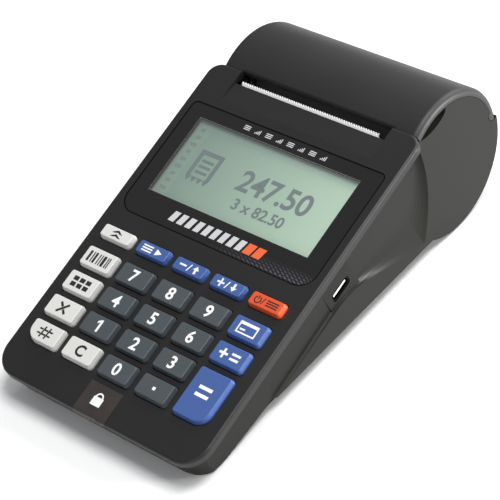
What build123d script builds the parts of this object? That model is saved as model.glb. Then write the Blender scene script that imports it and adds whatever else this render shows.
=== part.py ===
"""Portable ticket register: a sloping key deck with a display, and a round paper housing behind it.

Everything is in millimetres. Two frames are used:
  desk frame  +X to the right, +Y to the rear, +Z up, the desk is Z = 0 (the frame of the finished part)
  deck frame  X to the right, Y along the deck to the rear, Z square to the deck, with its origin on the
              deck's surface at the middle of the 7 8 9 row of keys
Pieces under the deck are drawn in the deck frame and moved to the desk frame when they are written.
"""
from build123d import *
from math import atan2, cos, degrees, hypot, pi, radians, sin
import os

os.makedirs("parts", exist_ok=True)

# ---------------------------------------------------------------- driving dimensions
DECK_TILT = 16.8            # slope of the deck, degrees

# deck (upper housing)
DECK_OVERHANG = 3.0         # past the body, at each side
DECK_LENGTH = 128.3
DECK_FRONT = -46.6          # front edge, from the 7 8 9 row
DECK_FRONT_CORNER = 9.0
DECK_REAR_CORNER = 5.0
DECK_RIM = 2.9              # depth of the rim
DECK_RIM_WIDTH = 3.0
DECK_PLATE = 2.2            # thickness inside the rim
DECK_EDGE = 1.0             # round of the top edge
LIP_THICKNESS = 1.2
LIP_DEPTH = 5.5
LIP_STOP = 25.7             # its end, ahead of the deck's rear edge

# body (lower housing)
BODY_WIDTH = 82.0
BODY_SETBACK = 1.0          # the body's front lies behind the deck's
BODY_CORNER = 9.0
BODY_FRONT_ROUND = 6.0
SIDE_WALL = 4.0             # thick enough for the finger scoops
WALL = 2.2
CHIN_LENGTH = 11.5
RAMP_LENGTH = 24.8
BELLY_RISE = 4.4            # the flat belly lies this far above the drum's lowest line

# finger scoops and bands in the body's sides
BAND_RECESS = 0.6           # at the front
BAND_RECESS_REAR = 1.9      # at the rear
BAND_FOOT = -19.2           # height of the ledge under the band
LEDGE_SLOPE = 0.7
LEDGE_END = 59.2            # ahead of the deck's rear edge
SIDE_CUT = 0.02             # the scoops' cut starts this far outside the body
SCOOP_STEPS = 5             # bands that round a scoop from its crease to its flat floor
# the crease of a scoop, as (ahead of the deck's rear edge, share of the way from the deck to the belly)
SCOOP_LOWER = [(45.7, 0.632), (36.5, 0.737), (27.7, 0.852)]
SCOOP_TIP = (16.7, 0.948)
SCOOP_REAR = [(9.7, 0.684), (4.7, 0.423)]
SCOOP_TOP = 1.5
# the edge of its flat floor, likewise
FLOOR_LOWER = [(46.7, 0.551), (37.2, 0.535), (27.7, 0.524)]
FLOOR_TIP = (16.7, 0.514)
FLOOR_REAR = [(10.2, 0.411), (5.3, 0.235)]
FLOOR_TOP = 2.7

# drum (round paper housing)
DRUM_RADIUS = 25.9
DRUM_BACK = 6.8             # its axis behind the deck's rear edge
DRUM_DROP = 0.3             # its top under the deck's surface
COVER_WALL = 2.2
COVER_RIM = 2.6             # depth of the cover's end rims, which ride over the cheeks
RIM_STEP = 1.0              # from a rim's inner side to the cheek
COVER_END_ROUND = 2.2
LIP_REACH = 3.0             # of the cover's front lip, down into the slot
LIP_LENGTH = 1.6
LIP_SLANT = 0.6
LIP_SINK = 0.4
COVER_GAP = 0.25

# hinge of the cover
HINGE_DEPTH = 1.55          # of the pin's axis, inside the drum's skin
HINGE_ANGLE = -8.0          # under the drum's axis, in the deck frame
HINGE_PIN = 0.8
PIN_INSET = 0.4             # from the outer side of a lug
HINGE_RUNNING = 0.05
HINGE_CLEAR = 0.25
HINGE_LUG_WIDTH = 2.4
LUG_SLIM = 0.1              # a lug lies this far inside the drum's skin

# finger notch in the right cheek, under the cover's rim
NOTCH_LENGTH = 15.2
NOTCH_DEPTH = 5.2
NOTCH_BACK = 7.2            # middle, behind the deck's rear edge
NOTCH_DROP = 3.6            # middle, under the deck's surface
NOTCH_WIDTH = 3.2
NOTCH_TILT = -9.0           # degrees

# paper slot and tear bar
SLOT_PLAY = 0.7             # beside the cover's ribs
SLOT_LENGTH = 4.9
DISH_LENGTH = 8.0
DISH_DEPTH = 0.9
TEAR_BAR_SHEET = 0.45
TEAR_BAR_FOOT = 5.0         # under the deck's surface
TEAR_BAR_BEND = 1.15
TEAR_BAR_REACH = 0.8        # of its bent edge
TEAR_BAR_RIB = 1.5          # the deck's rib behind it
TOOTH_PITCH = 1.0
TOOTH_DEPTH = 0.75

# display
LENS_MARGIN = 3.6           # from the deck's edge, at each side
LENS_FRONT = 20.0
LENS_REAR_MARGIN = 3.4      # from the dish
LENS_THICKNESS = 1.3
LENS_GAP = 0.1
LENS_SINK = 0.1
LENS_FRONT_CORNER = 6.0
LENS_REAR_CORNER = 2.0
WINDOW_SIDE_MARGIN = 5.8    # from the lens's edges
WINDOW_FRONT_MARGIN = 9.6
WINDOW_REAR_MARGIN = 4.4
LCD_SIDE_LAP = 0.6          # past the window
LCD_END_LAP = 0.7
LCD_GLASS = 2.0
BACKLIGHT = 2.5
LCD_BOARD = 1.2

# keys
KEY_MARGIN = 5.46           # from the outer keys to the deck's edge
KEY_SIDE_GAP = 2.77         # between neighbours
KEY_LENGTH = 7.7
KEY_SMALL_LENGTH = 5.2
KEY_ROW = 9.87
KEY_SMALL_ROW = 10.3        # the small keys, behind the 7 8 9 row
KEY_HEIGHT = 2.0
KEY_STRAIGHT = 0.5
KEY_TAPER = 19.0            # degrees
KEY_CORNER = 1.2
KEY_BIG_CORNER = 4.6
KEY_TOP_ROUND = 0.3
KEY_GAP = 0.3
KEY_SKIRT = 1.6             # how far the cap reaches into its hole
KEY_STEM_GAP = 0.11         # from the outer keys' stems to the deck's lip
KEY_FLANGE = 0.7
KEY_FLANGE_THICKNESS = 0.8
KEY_TRAVEL = 1.2
KEY_FREE = 0.2              # between the flange and the deck

# keypad and boards
MAT_SHEET = 0.8
DOME_RADIUS = 2.4
DOME_HEIGHT = 0.6
DOME_ROOT = 0.1             # of a dome, inside the mat
BOARD = 1.2
BOARD_GAP = 0.5             # beside the screw posts and the body's side
BOARD_FLOOR_GAP = 4.5       # between the main board's front edge and the belly
BOARD_REAR_GAP = 6.9        # ahead of the printer frame
MAIN_BOARD_DROP = 12.55
CHIP_HEIGHT = 1.4
# (share across the main board, share along it, size) of each chip
CHIPS = ((0.2, 0.2, 14.0), (0.57, 0.27, 10.0), (0.83, 0.7, 8.0), (0.24, 0.73, 12.0))

# side port
PORT_BACK = 30.4
PORT_WIDTH = 8.2
PORT_HEIGHT = 2.8
PORT_SHELL = 0.35
PORT_LENGTH = 6.0
PORT_INSET = 0.3            # of its mouth, in the pad
PORT_PLAY = 0.1
TONGUE = 1.1
TONGUE_WIDTH = 6.8
PAD_WIDTH = 14.0            # the raised pad round the port
PAD_TOP = 9.0               # under the deck's surface
PAD_FOOT = 23.0
PAD_RISE = 0.7              # at its foot; it fades into the band at its top
BOARD_TAB = 1.0             # of the board that carries the port, past it at each side

# paper
PAPER_SIDE_ROOM = 3.4       # from the paper to the printer frame
PAPER_LAP = 0.25            # of the rubber roller and the tear bar, past the paper
ROLL_ROOM = 9.4             # the drum's radius less the full roll's
CORE_RADIUS = 6.5
CORE_BORE = 5.0
ROLL_GAP = 0.4
CRADLE_GAP = 0.9
CRADLE_WALL = 1.0
CRADLE_DROP = 9.5           # its top, under the platen's axis
CRADLE_PLAY = 0.05

# paper drive
PLATEN_BACK = 2.9           # its axis behind the deck's rear edge
PLATEN_DROP = 8.8
PLATEN_RADIUS = 3.7
PLATEN_SHAFT = 1.5
SHAFT_RUNNING = 0.05
BUSHING_RADIUS = 2.5
GEAR_MODULE = 0.6
PLATEN_TEETH = 16
IDLER_TEETH = 24
PINION_TEETH = 12
GEAR_WIDTH = 2.4
GEAR_SIDE_GAP = 0.5         # from the frame
GEAR_END_GAP = 0.4          # from the body's side
GEAR_ADDENDUM = 0.9         # in modules, as are the next four
GEAR_DEDENDUM = 1.25
GEAR_ROOT_FILL = 0.08
GEAR_TOOTH = 0.66           # half a tooth's thickness
GEAR_FLANK = 0.36
MESH_GAP = 0.08
IDLER_PIN = 1.0
MOTOR_SHAFT = 0.75
MOTOR_RADIUS = 6.5
MOTOR_LENGTH = 14.0
MOTOR_DIRECTION = 158.0     # from the idler, degrees in the deck frame
FRAME_SHEET = 1.8
FRAME_MARGIN = 4.0          # round the motor's shaft
FRAME_TOP = 5.2             # under the deck's surface
FRAME_CHAMFER = 3.0
FRAME_FOOT = 6.5            # under the idler's axis
FRAME_FLOOR = 6.0
FRAME_LAP = 0.2             # of the cross pieces, into the side plates
CROSS_BAR_AHEAD = 5.0       # of the slot
CROSS_BAR = 1.6
NOTCH_PLAY = 0.2            # round the bushings
RIB_GAP = 1.0               # from the paper to the cover's ribs
RIB_SHEET = 1.6
RIB_ROUND = 3.0
RIB_REACH = 13.0
RIB_INSET = 0.3
HEAD_DIRECTION = 205.0      # from the platen, degrees in the deck frame
HEAD_GAP = 0.3
HEAD_THICKNESS = 1.0
SINK_THICKNESS = 2.2
HEAD_UP = 3.8
HEAD_DOWN = 2.8
SPRING_SHEET = 0.3
SPRING_WIDTH = 16.0
HEAD_PLAY = 0.1             # between the heat sink and the frame

# battery
BATTERY_SIDE_ROOM = 8.5     # to the body's side
BATTERY_FRONT_ROOM = 24.6   # behind the start of the belly
BATTERY_REAR_ROOM = 37.36   # ahead of the drum's axis
BATTERY_TOP_GAP = 1.9       # under the main board
BATTERY_ROUND = 0.22        # share of its height
BAY_SIDE_GAP = 0.7
BAY_END_GAP = 0.5
DOOR_GAP = 0.2
DOOR_LEDGE = 1.6
DOOR_TAB = 4.5
DOOR_SKIN = 1.2
DOOR_BOSS = 3.0
DOOR_THREAD = 2.4           # of a screw, in its boss

# screws, feet and film
SCREW_SHANK = 1.2
SCREW_HEAD = 2.2
SCREW_HEAD_HEIGHT = 1.5
SCREW_POST = 3.4
SCREW_PLAY = 0.1
SCREW_HEAD_PLAY = 0.2
SCREW_CUT = 4.0             # the wells' cut starts this far outside
SCREW_TOP = 3.4             # the screws end this far under the deck's surface
DECK_POST_SLIM = 0.8        # the deck's posts are this much slimmer than the body's
FRONT_SEAT = 2.47           # over the chin
FRONT_SPLIT = 0.48          # share of the front posts that belongs to the deck
MIDDLE_SEAT = 14.0          # under the deck's surface
MIDDLE_SPLIT = 7.0
SCREW_FRONT_SIDE = 6.0      # from the body's inner side
SCREW_FRONT_AHEAD = 5.84    # of the keys
SCREW_MIDDLE_SIDE = 2.6
SCREW_MIDDLE_BACK = 21.0
FOOT_STAND = 0.8
FOOT_RADIUS = 3.4
FOOT_SINK = 1.0
FOOT_PLAY = 0.1
FOOT_FRONT_SIDE = 19.0      # from the body's side to the feet's middles
FOOT_FRONT_BACK = 1.4       # behind the middle of the chin
FOOT_REAR_SIDE = 11.0
FOOT_REAR_WIDTH = 12.0
FOOT_REAR_LENGTH = 7.0
FILM = 0.15
FILM_GAP = 0.02
FILM_WIDTH = 13.6
FILM_REAR = -35.5
FILM_FOOT = -7.0

# ---------------------------------------------------------------- places worked out from them
deck_rear = DECK_FRONT + DECK_LENGTH
body_half = BODY_WIDTH / 2
deck_half = body_half + DECK_OVERHANG
cavity_half = body_half - SIDE_WALL
lip_half = cavity_half - COVER_GAP
body_front = DECK_FRONT + BODY_SETBACK
rim_foot = -DECK_RIM
drum_y = deck_rear + DRUM_BACK
drum_z = -DRUM_DROP - DRUM_RADIUS
roll_radius = DRUM_RADIUS - ROLL_ROOM
cover_front = deck_rear + COVER_GAP
cheek_radius = DRUM_RADIUS - COVER_RIM - COVER_GAP / 2
slope_sin = sin(radians(DECK_TILT))
slope_cos = cos(radians(DECK_TILT))

# the drum's lowest line stands FOOT_STAND above the desk, and the footprint is centred on the origin
lift = FOOT_STAND + DRUM_RADIUS - (drum_y * slope_sin + drum_z * slope_cos)
front_reach = (DECK_FRONT + DECK_EDGE) * slope_cos + DECK_EDGE * slope_sin - DECK_EDGE
rear_reach = drum_y * slope_cos - drum_z * slope_sin + DRUM_RADIUS
shift = -(front_reach + rear_reach) / 2
DECK = Pos(0, shift, lift) * Rot(DECK_TILT, 0, 0)

chin_z = FOOT_STAND
belly_z = FOOT_STAND + BELLY_RISE
inner_floor = belly_z + WALL

# across the machine, from the body's side inwards: gears, frame, ribs and paper
gear_right = cavity_half - GEAR_END_GAP
gear_left = gear_right - GEAR_WIDTH
frame_half = gear_left - GEAR_SIDE_GAP - FRAME_SHEET
paper_half = frame_half - PAPER_SIDE_ROOM
rib_inner = paper_half + RIB_GAP
rib_outer = rib_inner + RIB_SHEET
slot_half = rib_outer + SLOT_PLAY
bar_half = paper_half + PAPER_LAP

# the keypad's grid
ROW_KEYS = (
    ("plu", "7", "8", "9", "pay"),
    ("dep", "4", "5", "6", "subtotal"),
    ("vd", "1", "2", "3", None),
    ("qty", "clear", "0", "point", None),
)
SMALL_KEYS = ("feed", "func", "minus", "plus", "mode")
columns = len(SMALL_KEYS)
key_column = (2 * (deck_half - KEY_MARGIN) + KEY_SIDE_GAP) / columns
key_width = key_column - KEY_SIDE_GAP
stem_half = lip_half - LIP_THICKNESS - KEY_STEM_GAP - (columns - 1) / 2 * key_column
last_row = len(ROW_KEYS) - 1
keys_front = -last_row * KEY_ROW - KEY_LENGTH / 2
keys_rear = KEY_SMALL_ROW + KEY_SMALL_LENGTH / 2


def desk(y, z):
    """A deck-frame point (y, z) in the desk frame."""
    return (y * slope_cos - z * slope_sin + shift, y * slope_sin + z * slope_cos + lift)


def deck_depth(y, desk_z):
    """The deck-frame height at which the line square to the deck at y meets a desk height."""
    return (desk_z - lift - y * slope_sin) / slope_cos


def around(radius, angle, centre):
    """The point at an angle (degrees) on a circle in the YZ plane."""
    return (centre[0] + radius * cos(radians(angle)), centre[1] + radius * sin(radians(angle)))


def bar(radius, left, right, centre):
    """A round bar along X between two X positions, about a point of the YZ plane."""
    middle = (left + right) / 2
    return Pos(middle, centre[0], centre[1]) * Rot(0, 90, 0) * Cylinder(radius, right - left)


def slab(left, right, points):
    """A prism along X over a polygon of the YZ plane."""
    face = Plane.YZ * Polygon(*points, align=None)
    return Pos(left, 0, 0) * extrude(face, right - left, dir=(1, 0, 0))


def block(x_range, y_range, z_range):
    """A box between its lowest and highest corners."""
    sizes = [high - low for low, high in (x_range, y_range, z_range)]
    middles = [(low + high) / 2 for low, high in (x_range, y_range, z_range)]
    return Pos(*middles) * Box(*sizes)


def both_sides(shape):
    """A shape and its mirror image in the YZ plane."""
    return [shape, mirror(shape, Plane.YZ)]


def corner_of(sketch, x, y):
    """The sketch's vertex nearest to a point."""
    return sketch.vertices().sort_by_distance((x, y, 0))[0]


def rounded_plan(half_width, front, rear, front_corner, rear_corner):
    """A rectangle of the deck plane with its own corner radius at each end."""
    middle = (front + rear) / 2
    plan = Pos(0, middle) * Rectangle(2 * half_width, rear - front)
    fronts = [corner_of(plan, side * half_width, front) for side in (-1, 1)]
    plan = fillet(fronts, front_corner)
    if rear_corner:
        rears = [corner_of(plan, side * half_width, rear) for side in (-1, 1)]
        plan = fillet(rears, rear_corner)
    return plan


def raised(plan, low, high):
    """A sketch of the deck plane as a prism between two heights."""
    return Pos(0, 0, low) * extrude(plan, high - low)


def write(name, shape, place=DECK):
    """Write one named piece, in the desk frame."""
    moved = [place * piece for piece in shape] if isinstance(shape, list) else [place * shape]
    solids = [solid for piece in moved for solid in piece.solids()]
    export_step(Compound(children=solids) if len(solids) > 1 else solids[0], f"parts/{name}.step")


# ---------------------------------------------------------------- keys
def key_plan(width, length, big_corner):
    """The outline of a key; big_corner is None or the side (-1, 1) of its large front corner."""
    plan = Rectangle(width, length)
    if big_corner is None:
        return fillet(plan.vertices(), KEY_CORNER)
    big = corner_of(plan, big_corner * width / 2, -length / 2)
    others = [v for v in plan.vertices() if v != big]
    plan = fillet(others, KEY_CORNER)
    return fillet(corner_of(plan, big_corner * width / 2, -length / 2), KEY_BIG_CORNER)


def key_solid(plan, length):
    """A key: a cap with bevelled sides, and a stem with the flange that keeps it in the deck."""
    flange_top = -DECK_PLATE - KEY_FREE
    foot = flange_top - KEY_FLANGE_THICKNESS
    cap = raised(plan, -KEY_SKIRT, KEY_STRAIGHT)
    cap += Pos(0, 0, KEY_STRAIGHT) * extrude(plan, KEY_HEIGHT - KEY_STRAIGHT, taper=KEY_TAPER)
    cap = fillet(cap.faces().sort_by(Axis.Z)[-1].edges(), KEY_TOP_ROUND)
    stem_end, flange_end = length / 2 - KEY_GAP, length / 2 + KEY_GAP + KEY_FLANGE
    stem_x = (-stem_half, stem_half)
    stem = block(stem_x, (-stem_end, stem_end), (foot, -KEY_SKIRT))
    return cap + stem + block(stem_x, (-flange_end, flange_end), (foot, flange_top))


# name -> (x, y, length, side of the large corner)
key_places = {}
for row, names in enumerate(ROW_KEYS):
    for column, name in enumerate(names):
        if name is not None:
            side = -1 if name == "qty" else None
            key_places[name] = ((column - 2) * key_column, -row * KEY_ROW, KEY_LENGTH, side)
for column, name in enumerate(SMALL_KEYS):
    key_places[name] = ((column - 2) * key_column, KEY_SMALL_ROW, KEY_SMALL_LENGTH, None)
key_places["total"] = (2 * key_column, (0.5 - last_row) * KEY_ROW, KEY_LENGTH + KEY_ROW, 1)

for name, (x, y, length, side) in key_places.items():
    write(f"key_{name}", Pos(x, y) * key_solid(key_plan(key_width, length, side), length))

key_foot = -DECK_PLATE - KEY_FREE - KEY_FLANGE_THICKNESS
keypad_half = (columns - 1) / 2 * key_column + stem_half - KEY_GAP / 2

# ---------------------------------------------------------------- keypad mat and keypad board
dome_top = key_foot - KEY_TRAVEL - KEY_GAP / 3
mat_top = dome_top - DOME_HEIGHT
mat_foot = mat_top - MAT_SHEET
mat_y = (keys_front - KEY_FLANGE, keys_rear + KEY_FLANGE)
keypad_mat = block((-keypad_half, keypad_half), mat_y, (mat_foot, mat_top))
for x, y, length, side in key_places.values():
    dome_height = DOME_HEIGHT + DOME_ROOT
    dome = Pos(x, y, dome_top - dome_height / 2) * Cylinder(DOME_RADIUS, dome_height)
    keypad_mat += dome & block((-keypad_half, keypad_half), mat_y, (mat_foot, dome_top))
write("keypad_mat", keypad_mat)
keypad_board_foot = mat_foot - BOARD
write("keypad_board", block((-keypad_half, keypad_half), mat_y, (keypad_board_foot, mat_foot)))

# ---------------------------------------------------------------- upper housing
deck_plan = rounded_plan(deck_half, DECK_FRONT, deck_rear, DECK_FRONT_CORNER, DECK_REAR_CORNER)
upper_housing = raised(deck_plan, rim_foot, 0)
top_edges = upper_housing.faces().sort_by(Axis.Z)[-1].edges()
upper_housing = fillet([e for e in top_edges if e.center().Y < deck_rear - DECK_EDGE / 2], DECK_EDGE)
upper_housing -= raised(offset(deck_plan, -DECK_RIM_WIDTH), rim_foot, -DECK_PLATE)

lip_front = body_front + WALL + COVER_GAP
lip_rear = deck_rear - LIP_STOP
cavity_corner = BODY_CORNER - WALL
lip_plan = rounded_plan(lip_half, lip_front, lip_rear, cavity_corner, 0)
lip_hole = rounded_plan(
    lip_half - LIP_THICKNESS, lip_front + LIP_THICKNESS, lip_rear + 1, cavity_corner - LIP_THICKNESS, 0
)
upper_housing += raised(lip_plan - lip_hole, -LIP_DEPTH, -DECK_PLATE)

for x, y, length, side in key_places.values():
    hole = raised(offset(key_plan(key_width, length, side), KEY_GAP), rim_foot - 1, KEY_HEIGHT)
    upper_housing -= Pos(x, y) * hole

slot_front = deck_rear - SLOT_LENGTH
dish_front = slot_front - DISH_LENGTH
lens_half = deck_half - LENS_MARGIN
lens_rear = dish_front - LENS_REAR_MARGIN
window_half = lens_half - WINDOW_SIDE_MARGIN
window_front = LENS_FRONT + WINDOW_FRONT_MARGIN
window_rear = lens_rear - WINDOW_REAR_MARGIN
pocket_floor = -LENS_SINK - LENS_THICKNESS
pocket_plan = rounded_plan(
    lens_half + LENS_GAP, LENS_FRONT - LENS_GAP, lens_rear + LENS_GAP,
    LENS_FRONT_CORNER + LENS_GAP, LENS_REAR_CORNER + LENS_GAP,
)
upper_housing -= raised(pocket_plan, pocket_floor, 1)
upper_housing -= block((-window_half, window_half), (window_front, window_rear), (rim_foot - 1, 1))
upper_housing -= block((-slot_half, slot_half), (slot_front, deck_rear + 1), (rim_foot - 1, 1))
upper_housing -= slab(-slot_half, slot_half, [(dish_front, 0), (slot_front, -DISH_DEPTH), (slot_front, 1),
                                              (dish_front, 1)])
upper_housing += block((-bar_half, bar_half), (slot_front - TEAR_BAR_RIB, slot_front),
                       (-TEAR_BAR_FOOT, -DECK_PLATE + DISH_DEPTH / 4))

# screw pairs, each (x, y, underside that its well opens in, seat, split between the two housings)
front_floor = deck_depth(keys_front - SCREW_FRONT_AHEAD, chin_z)
front_seat = front_floor + FRONT_SEAT
front_screw = (cavity_half - SCREW_FRONT_SIDE, keys_front - SCREW_FRONT_AHEAD, front_floor, front_seat,
               -DECK_PLATE + FRONT_SPLIT * (front_seat + DECK_PLATE))
middle_screw = (cavity_half - SCREW_MIDDLE_SIDE, SCREW_MIDDLE_BACK, deck_depth(SCREW_MIDDLE_BACK, belly_z),
                -MIDDLE_SEAT, -MIDDLE_SPLIT)
for screw_x, screw_y, floor, seat, split in (front_screw, middle_screw):
    post = Pos(screw_x, screw_y, (split - DECK_PLATE) / 2) * Cylinder(SCREW_POST - DECK_POST_SLIM, -DECK_PLATE - split)
    pilot = Pos(screw_x, screw_y, (split - SCREW_TOP) / 2) * Cylinder(SCREW_SHANK, -SCREW_TOP - split)
    for post_piece, pilot_piece in zip(both_sides(post), both_sides(pilot)):
        upper_housing += post_piece
        upper_housing -= pilot_piece
write("upper_housing", upper_housing)

# ---------------------------------------------------------------- display
lens_plan = rounded_plan(lens_half, LENS_FRONT, lens_rear, LENS_FRONT_CORNER, LENS_REAR_CORNER)
write("display_lens", raised(lens_plan, pocket_floor, -LENS_SINK))
lcd_top = -DECK_PLATE
lcd_y = (window_front - LCD_END_LAP, window_rear + LCD_END_LAP)
lcd_x = (-window_half - LCD_SIDE_LAP, window_half + LCD_SIDE_LAP)
backlight_top = lcd_top - LCD_GLASS
lcd_board_top = backlight_top - BACKLIGHT
write("lcd_glass", block(lcd_x, lcd_y, (backlight_top, lcd_top)))
write("lcd_backlight", block(lcd_x, lcd_y, (lcd_board_top, backlight_top)))
write("lcd_board", block(lcd_x, lcd_y, (lcd_board_top - LCD_BOARD, lcd_board_top)))

# ---------------------------------------------------------------- tear bar
bend = -TEAR_BAR_BEND
blade_half = TEAR_BAR_SHEET * sin(radians(45))
tip = (slot_front + TEAR_BAR_SHEET + TEAR_BAR_REACH, bend + TEAR_BAR_REACH)
tear_bar = slab(-bar_half, bar_half, [
    (slot_front, -TEAR_BAR_FOOT), (slot_front + TEAR_BAR_SHEET, -TEAR_BAR_FOOT),
    (slot_front + TEAR_BAR_SHEET, bend), tip, (tip[0] - blade_half, tip[1] + blade_half),
    (slot_front, bend + TEAR_BAR_SHEET / 2),
])
tooth_plane = Plane(origin=(0, tip[0], tip[1]), x_dir=(1, 0, 0), z_dir=(0, -1, 1))
tooth_count = int(2 * bar_half / TOOTH_PITCH)
gap_half = TOOTH_PITCH / 2
gaps = [
    Pos((i - (tooth_count - 1) / 2) * TOOTH_PITCH, 0)
    * Polygon((-gap_half, TEAR_BAR_SHEET / 2), (gap_half, TEAR_BAR_SHEET / 2), (0, -TOOTH_DEPTH), align=None)
    for i in range(tooth_count)
]
gap_cut = extrude(tooth_plane * Sketch(children=gaps), 2 * TEAR_BAR_SHEET, both=True)
write("tear_bar", tear_bar - gap_cut)

# ---------------------------------------------------------------- drum, cover and hinge
drum = (drum_y, drum_z)
hinge = around(DRUM_RADIUS - HINGE_DEPTH, HINGE_ANGLE, drum)
# the bead reaches as far as the edge of the cover's skin when the cover stands open by a right angle
hinge_bead = HINGE_DEPTH * 2 ** 0.5
platen = (deck_rear + PLATEN_BACK, -PLATEN_DROP)
far = 3 * DRUM_RADIUS
hinge_ray = around(far, HINGE_ANGLE, drum)
above_hinge = [(cover_front, drum_z), drum, hinge_ray, (hinge_ray[0], far), (cover_front, far)]
lug_inner = cavity_half - HINGE_LUG_WIDTH / 3
lug_outer = lug_inner + HINGE_LUG_WIDTH

cover_blank = bar(DRUM_RADIUS, -body_half, body_half, drum)
end_edges = [e for e in cover_blank.edges() if e.geom_type == GeomType.CIRCLE]
drum_skin = fillet(end_edges, COVER_END_ROUND)
shell_half = cavity_half - COVER_GAP
rim_inner = cavity_half - RIM_STEP
cover_shell = drum_skin - bar(DRUM_RADIUS - COVER_WALL, -rim_inner, rim_inner, drum)
for piece in both_sides(bar(DRUM_RADIUS - COVER_RIM, rim_inner - 1, body_half + 1, drum)):
    cover_shell -= piece
roll_cover = cover_shell & slab(-body_half, body_half, above_hinge)

# ribs that carry the platen, just outside its rubber sleeve
rib_disc = bar(RIB_ROUND, rib_inner, rib_outer, platen)
rib_plate = slab(rib_inner, rib_outer, [
    (cover_front + RIB_INSET, 0), (platen[0] + RIB_REACH, 0),
    (platen[0] + 0.8 * RIB_ROUND, platen[1] - 0.6 * RIB_ROUND),
    (cover_front + RIB_INSET, platen[1] - 0.4 * RIB_ROUND),
])
rib = (rib_disc + rib_plate) & bar(DRUM_RADIUS - COVER_WALL / 2, rib_inner, rib_outer, drum)
for piece in both_sides(rib):
    roll_cover += piece
roll_cover -= bar(PLATEN_SHAFT + SHAFT_RUNNING, -frame_half, frame_half, platen)

# front lip: a rolled edge that turns down into the slot
front_lip = slab(-shell_half, shell_half, [
    (cover_front, 0), (cover_front + LIP_LENGTH, 0), (cover_front + LIP_LENGTH, -LIP_REACH - LIP_SLANT),
    (cover_front + LIP_SLANT, -LIP_REACH),
])
front_lip &= bar(DRUM_RADIUS - LIP_SINK, -shell_half, shell_half, drum)
roll_cover += front_lip

# bead that turns on the hinge pin, with gaps that let the lugs in
roll_cover += bar(hinge_bead, -body_half, body_half, hinge) & drum_skin
for piece in both_sides(bar(hinge_bead + HINGE_CLEAR, lug_inner - COVER_GAP, lug_outer + COVER_GAP, hinge)):
    roll_cover -= piece
roll_cover -= bar(HINGE_PIN + HINGE_RUNNING, -lug_outer, lug_outer, hinge)
write("roll_cover", roll_cover)
write("hinge_pin", bar(HINGE_PIN, -lug_outer + PIN_INSET, lug_outer - PIN_INSET, hinge))

# ---------------------------------------------------------------- lower housing (desk frame)
drum_desk = desk(*drum)
chin_front = desk(body_front, deck_depth(body_front, chin_z))
ramp_start = (chin_front[0] + CHIN_LENGTH, chin_z)
belly_start = (ramp_start[0] + RAMP_LENGTH, belly_z)
side_points = [
    desk(body_front, rim_foot), chin_front, ramp_start, belly_start,
    (drum_desk[0], belly_z), drum_desk, desk(deck_rear, rim_foot),
]
side_face = Polygon(*side_points, align=None)
side_face = fillet(corner_of(side_face, *chin_front), BODY_FRONT_ROUND)
side_face += Pos(*drum_desk) * Circle(DRUM_RADIUS)
lower_housing = extrude(Plane.YZ * side_face, body_half, both=True)
plan_rear = drum_y + 2 * DRUM_RADIUS
body_plan = rounded_plan(body_half, body_front, plan_rear, BODY_CORNER, 0)
lower_housing &= DECK * raised(body_plan, -far, far)

inner_face = offset(side_face, -WALL)
inner_points = [desk(body_front + WALL, rim_foot - 2 * WALL), desk(body_front + WALL, 2 * WALL),
                desk(cover_front, 2 * WALL), desk(cover_front, rim_foot - 2 * WALL)]
inner_face += Polygon(*inner_points, align=None)
cavity = extrude(Plane.YZ * inner_face, cavity_half, both=True)
cavity_plan = rounded_plan(cavity_half, body_front + WALL, plan_rear, cavity_corner, 0)
lower_housing -= cavity & (DECK * raised(cavity_plan, -far, far))

# room for the deck, the cover and the cover's hinge
lower_housing -= DECK * block((-far, far), (-far, cover_front), (rim_foot, far))
cover_zone = slab(-far, far, above_hinge)
for cheek in both_sides(bar(cheek_radius, cavity_half, far, drum)):
    cover_zone -= cheek
lower_housing -= DECK * cover_zone
lower_housing -= DECK * bar(hinge_bead + HINGE_CLEAR, -far, far, hinge)
lug_back = around(DRUM_RADIUS - 5 * HINGE_DEPTH, HINGE_ANGLE, drum)
lug_radius = HINGE_DEPTH - LUG_SLIM
lug_web = Pos((lug_inner + lug_outer) / 2, (hinge[0] + lug_back[0]) / 2, (hinge[1] + lug_back[1]) / 2) * Rot(
    HINGE_ANGLE, 0, 0
) * Box(HINGE_LUG_WIDTH, 4 * HINGE_DEPTH, 2 * lug_radius)
lug = bar(lug_radius, lug_inner, lug_outer, hinge) + lug_web
for piece in both_sides(lug):
    lower_housing += DECK * piece
lower_housing -= DECK * bar(HINGE_PIN, -lug_outer + PIN_INSET, lug_outer - PIN_INSET, hinge)

# finger notch: it bares the lower edge of the cover's rim
notch_tool = Pos(body_half, deck_rear + NOTCH_BACK, -NOTCH_DROP) * Rot(NOTCH_TILT, 0, 0) * scale(
    Sphere(1), by=(NOTCH_WIDTH, NOTCH_LENGTH / 2, NOTCH_DEPTH / 2)
)
lower_housing -= DECK * notch_tool


def band_depth(y):
    """How far the band lies inside the body's side at a place along the deck."""
    share = (y - body_front) / (deck_rear - body_front)
    return BAND_RECESS + share * (BAND_RECESS_REAR - BAND_RECESS)


def on_side(pairs):
    """Places on the body's side from (ahead of the deck's rear edge, share of the way down to the belly)."""
    places = [(deck_rear - ahead, share) for ahead, share in pairs]
    return [(y, rim_foot + share * (deck_depth(y, belly_z) - rim_foot)) for y, share in places]


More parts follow.
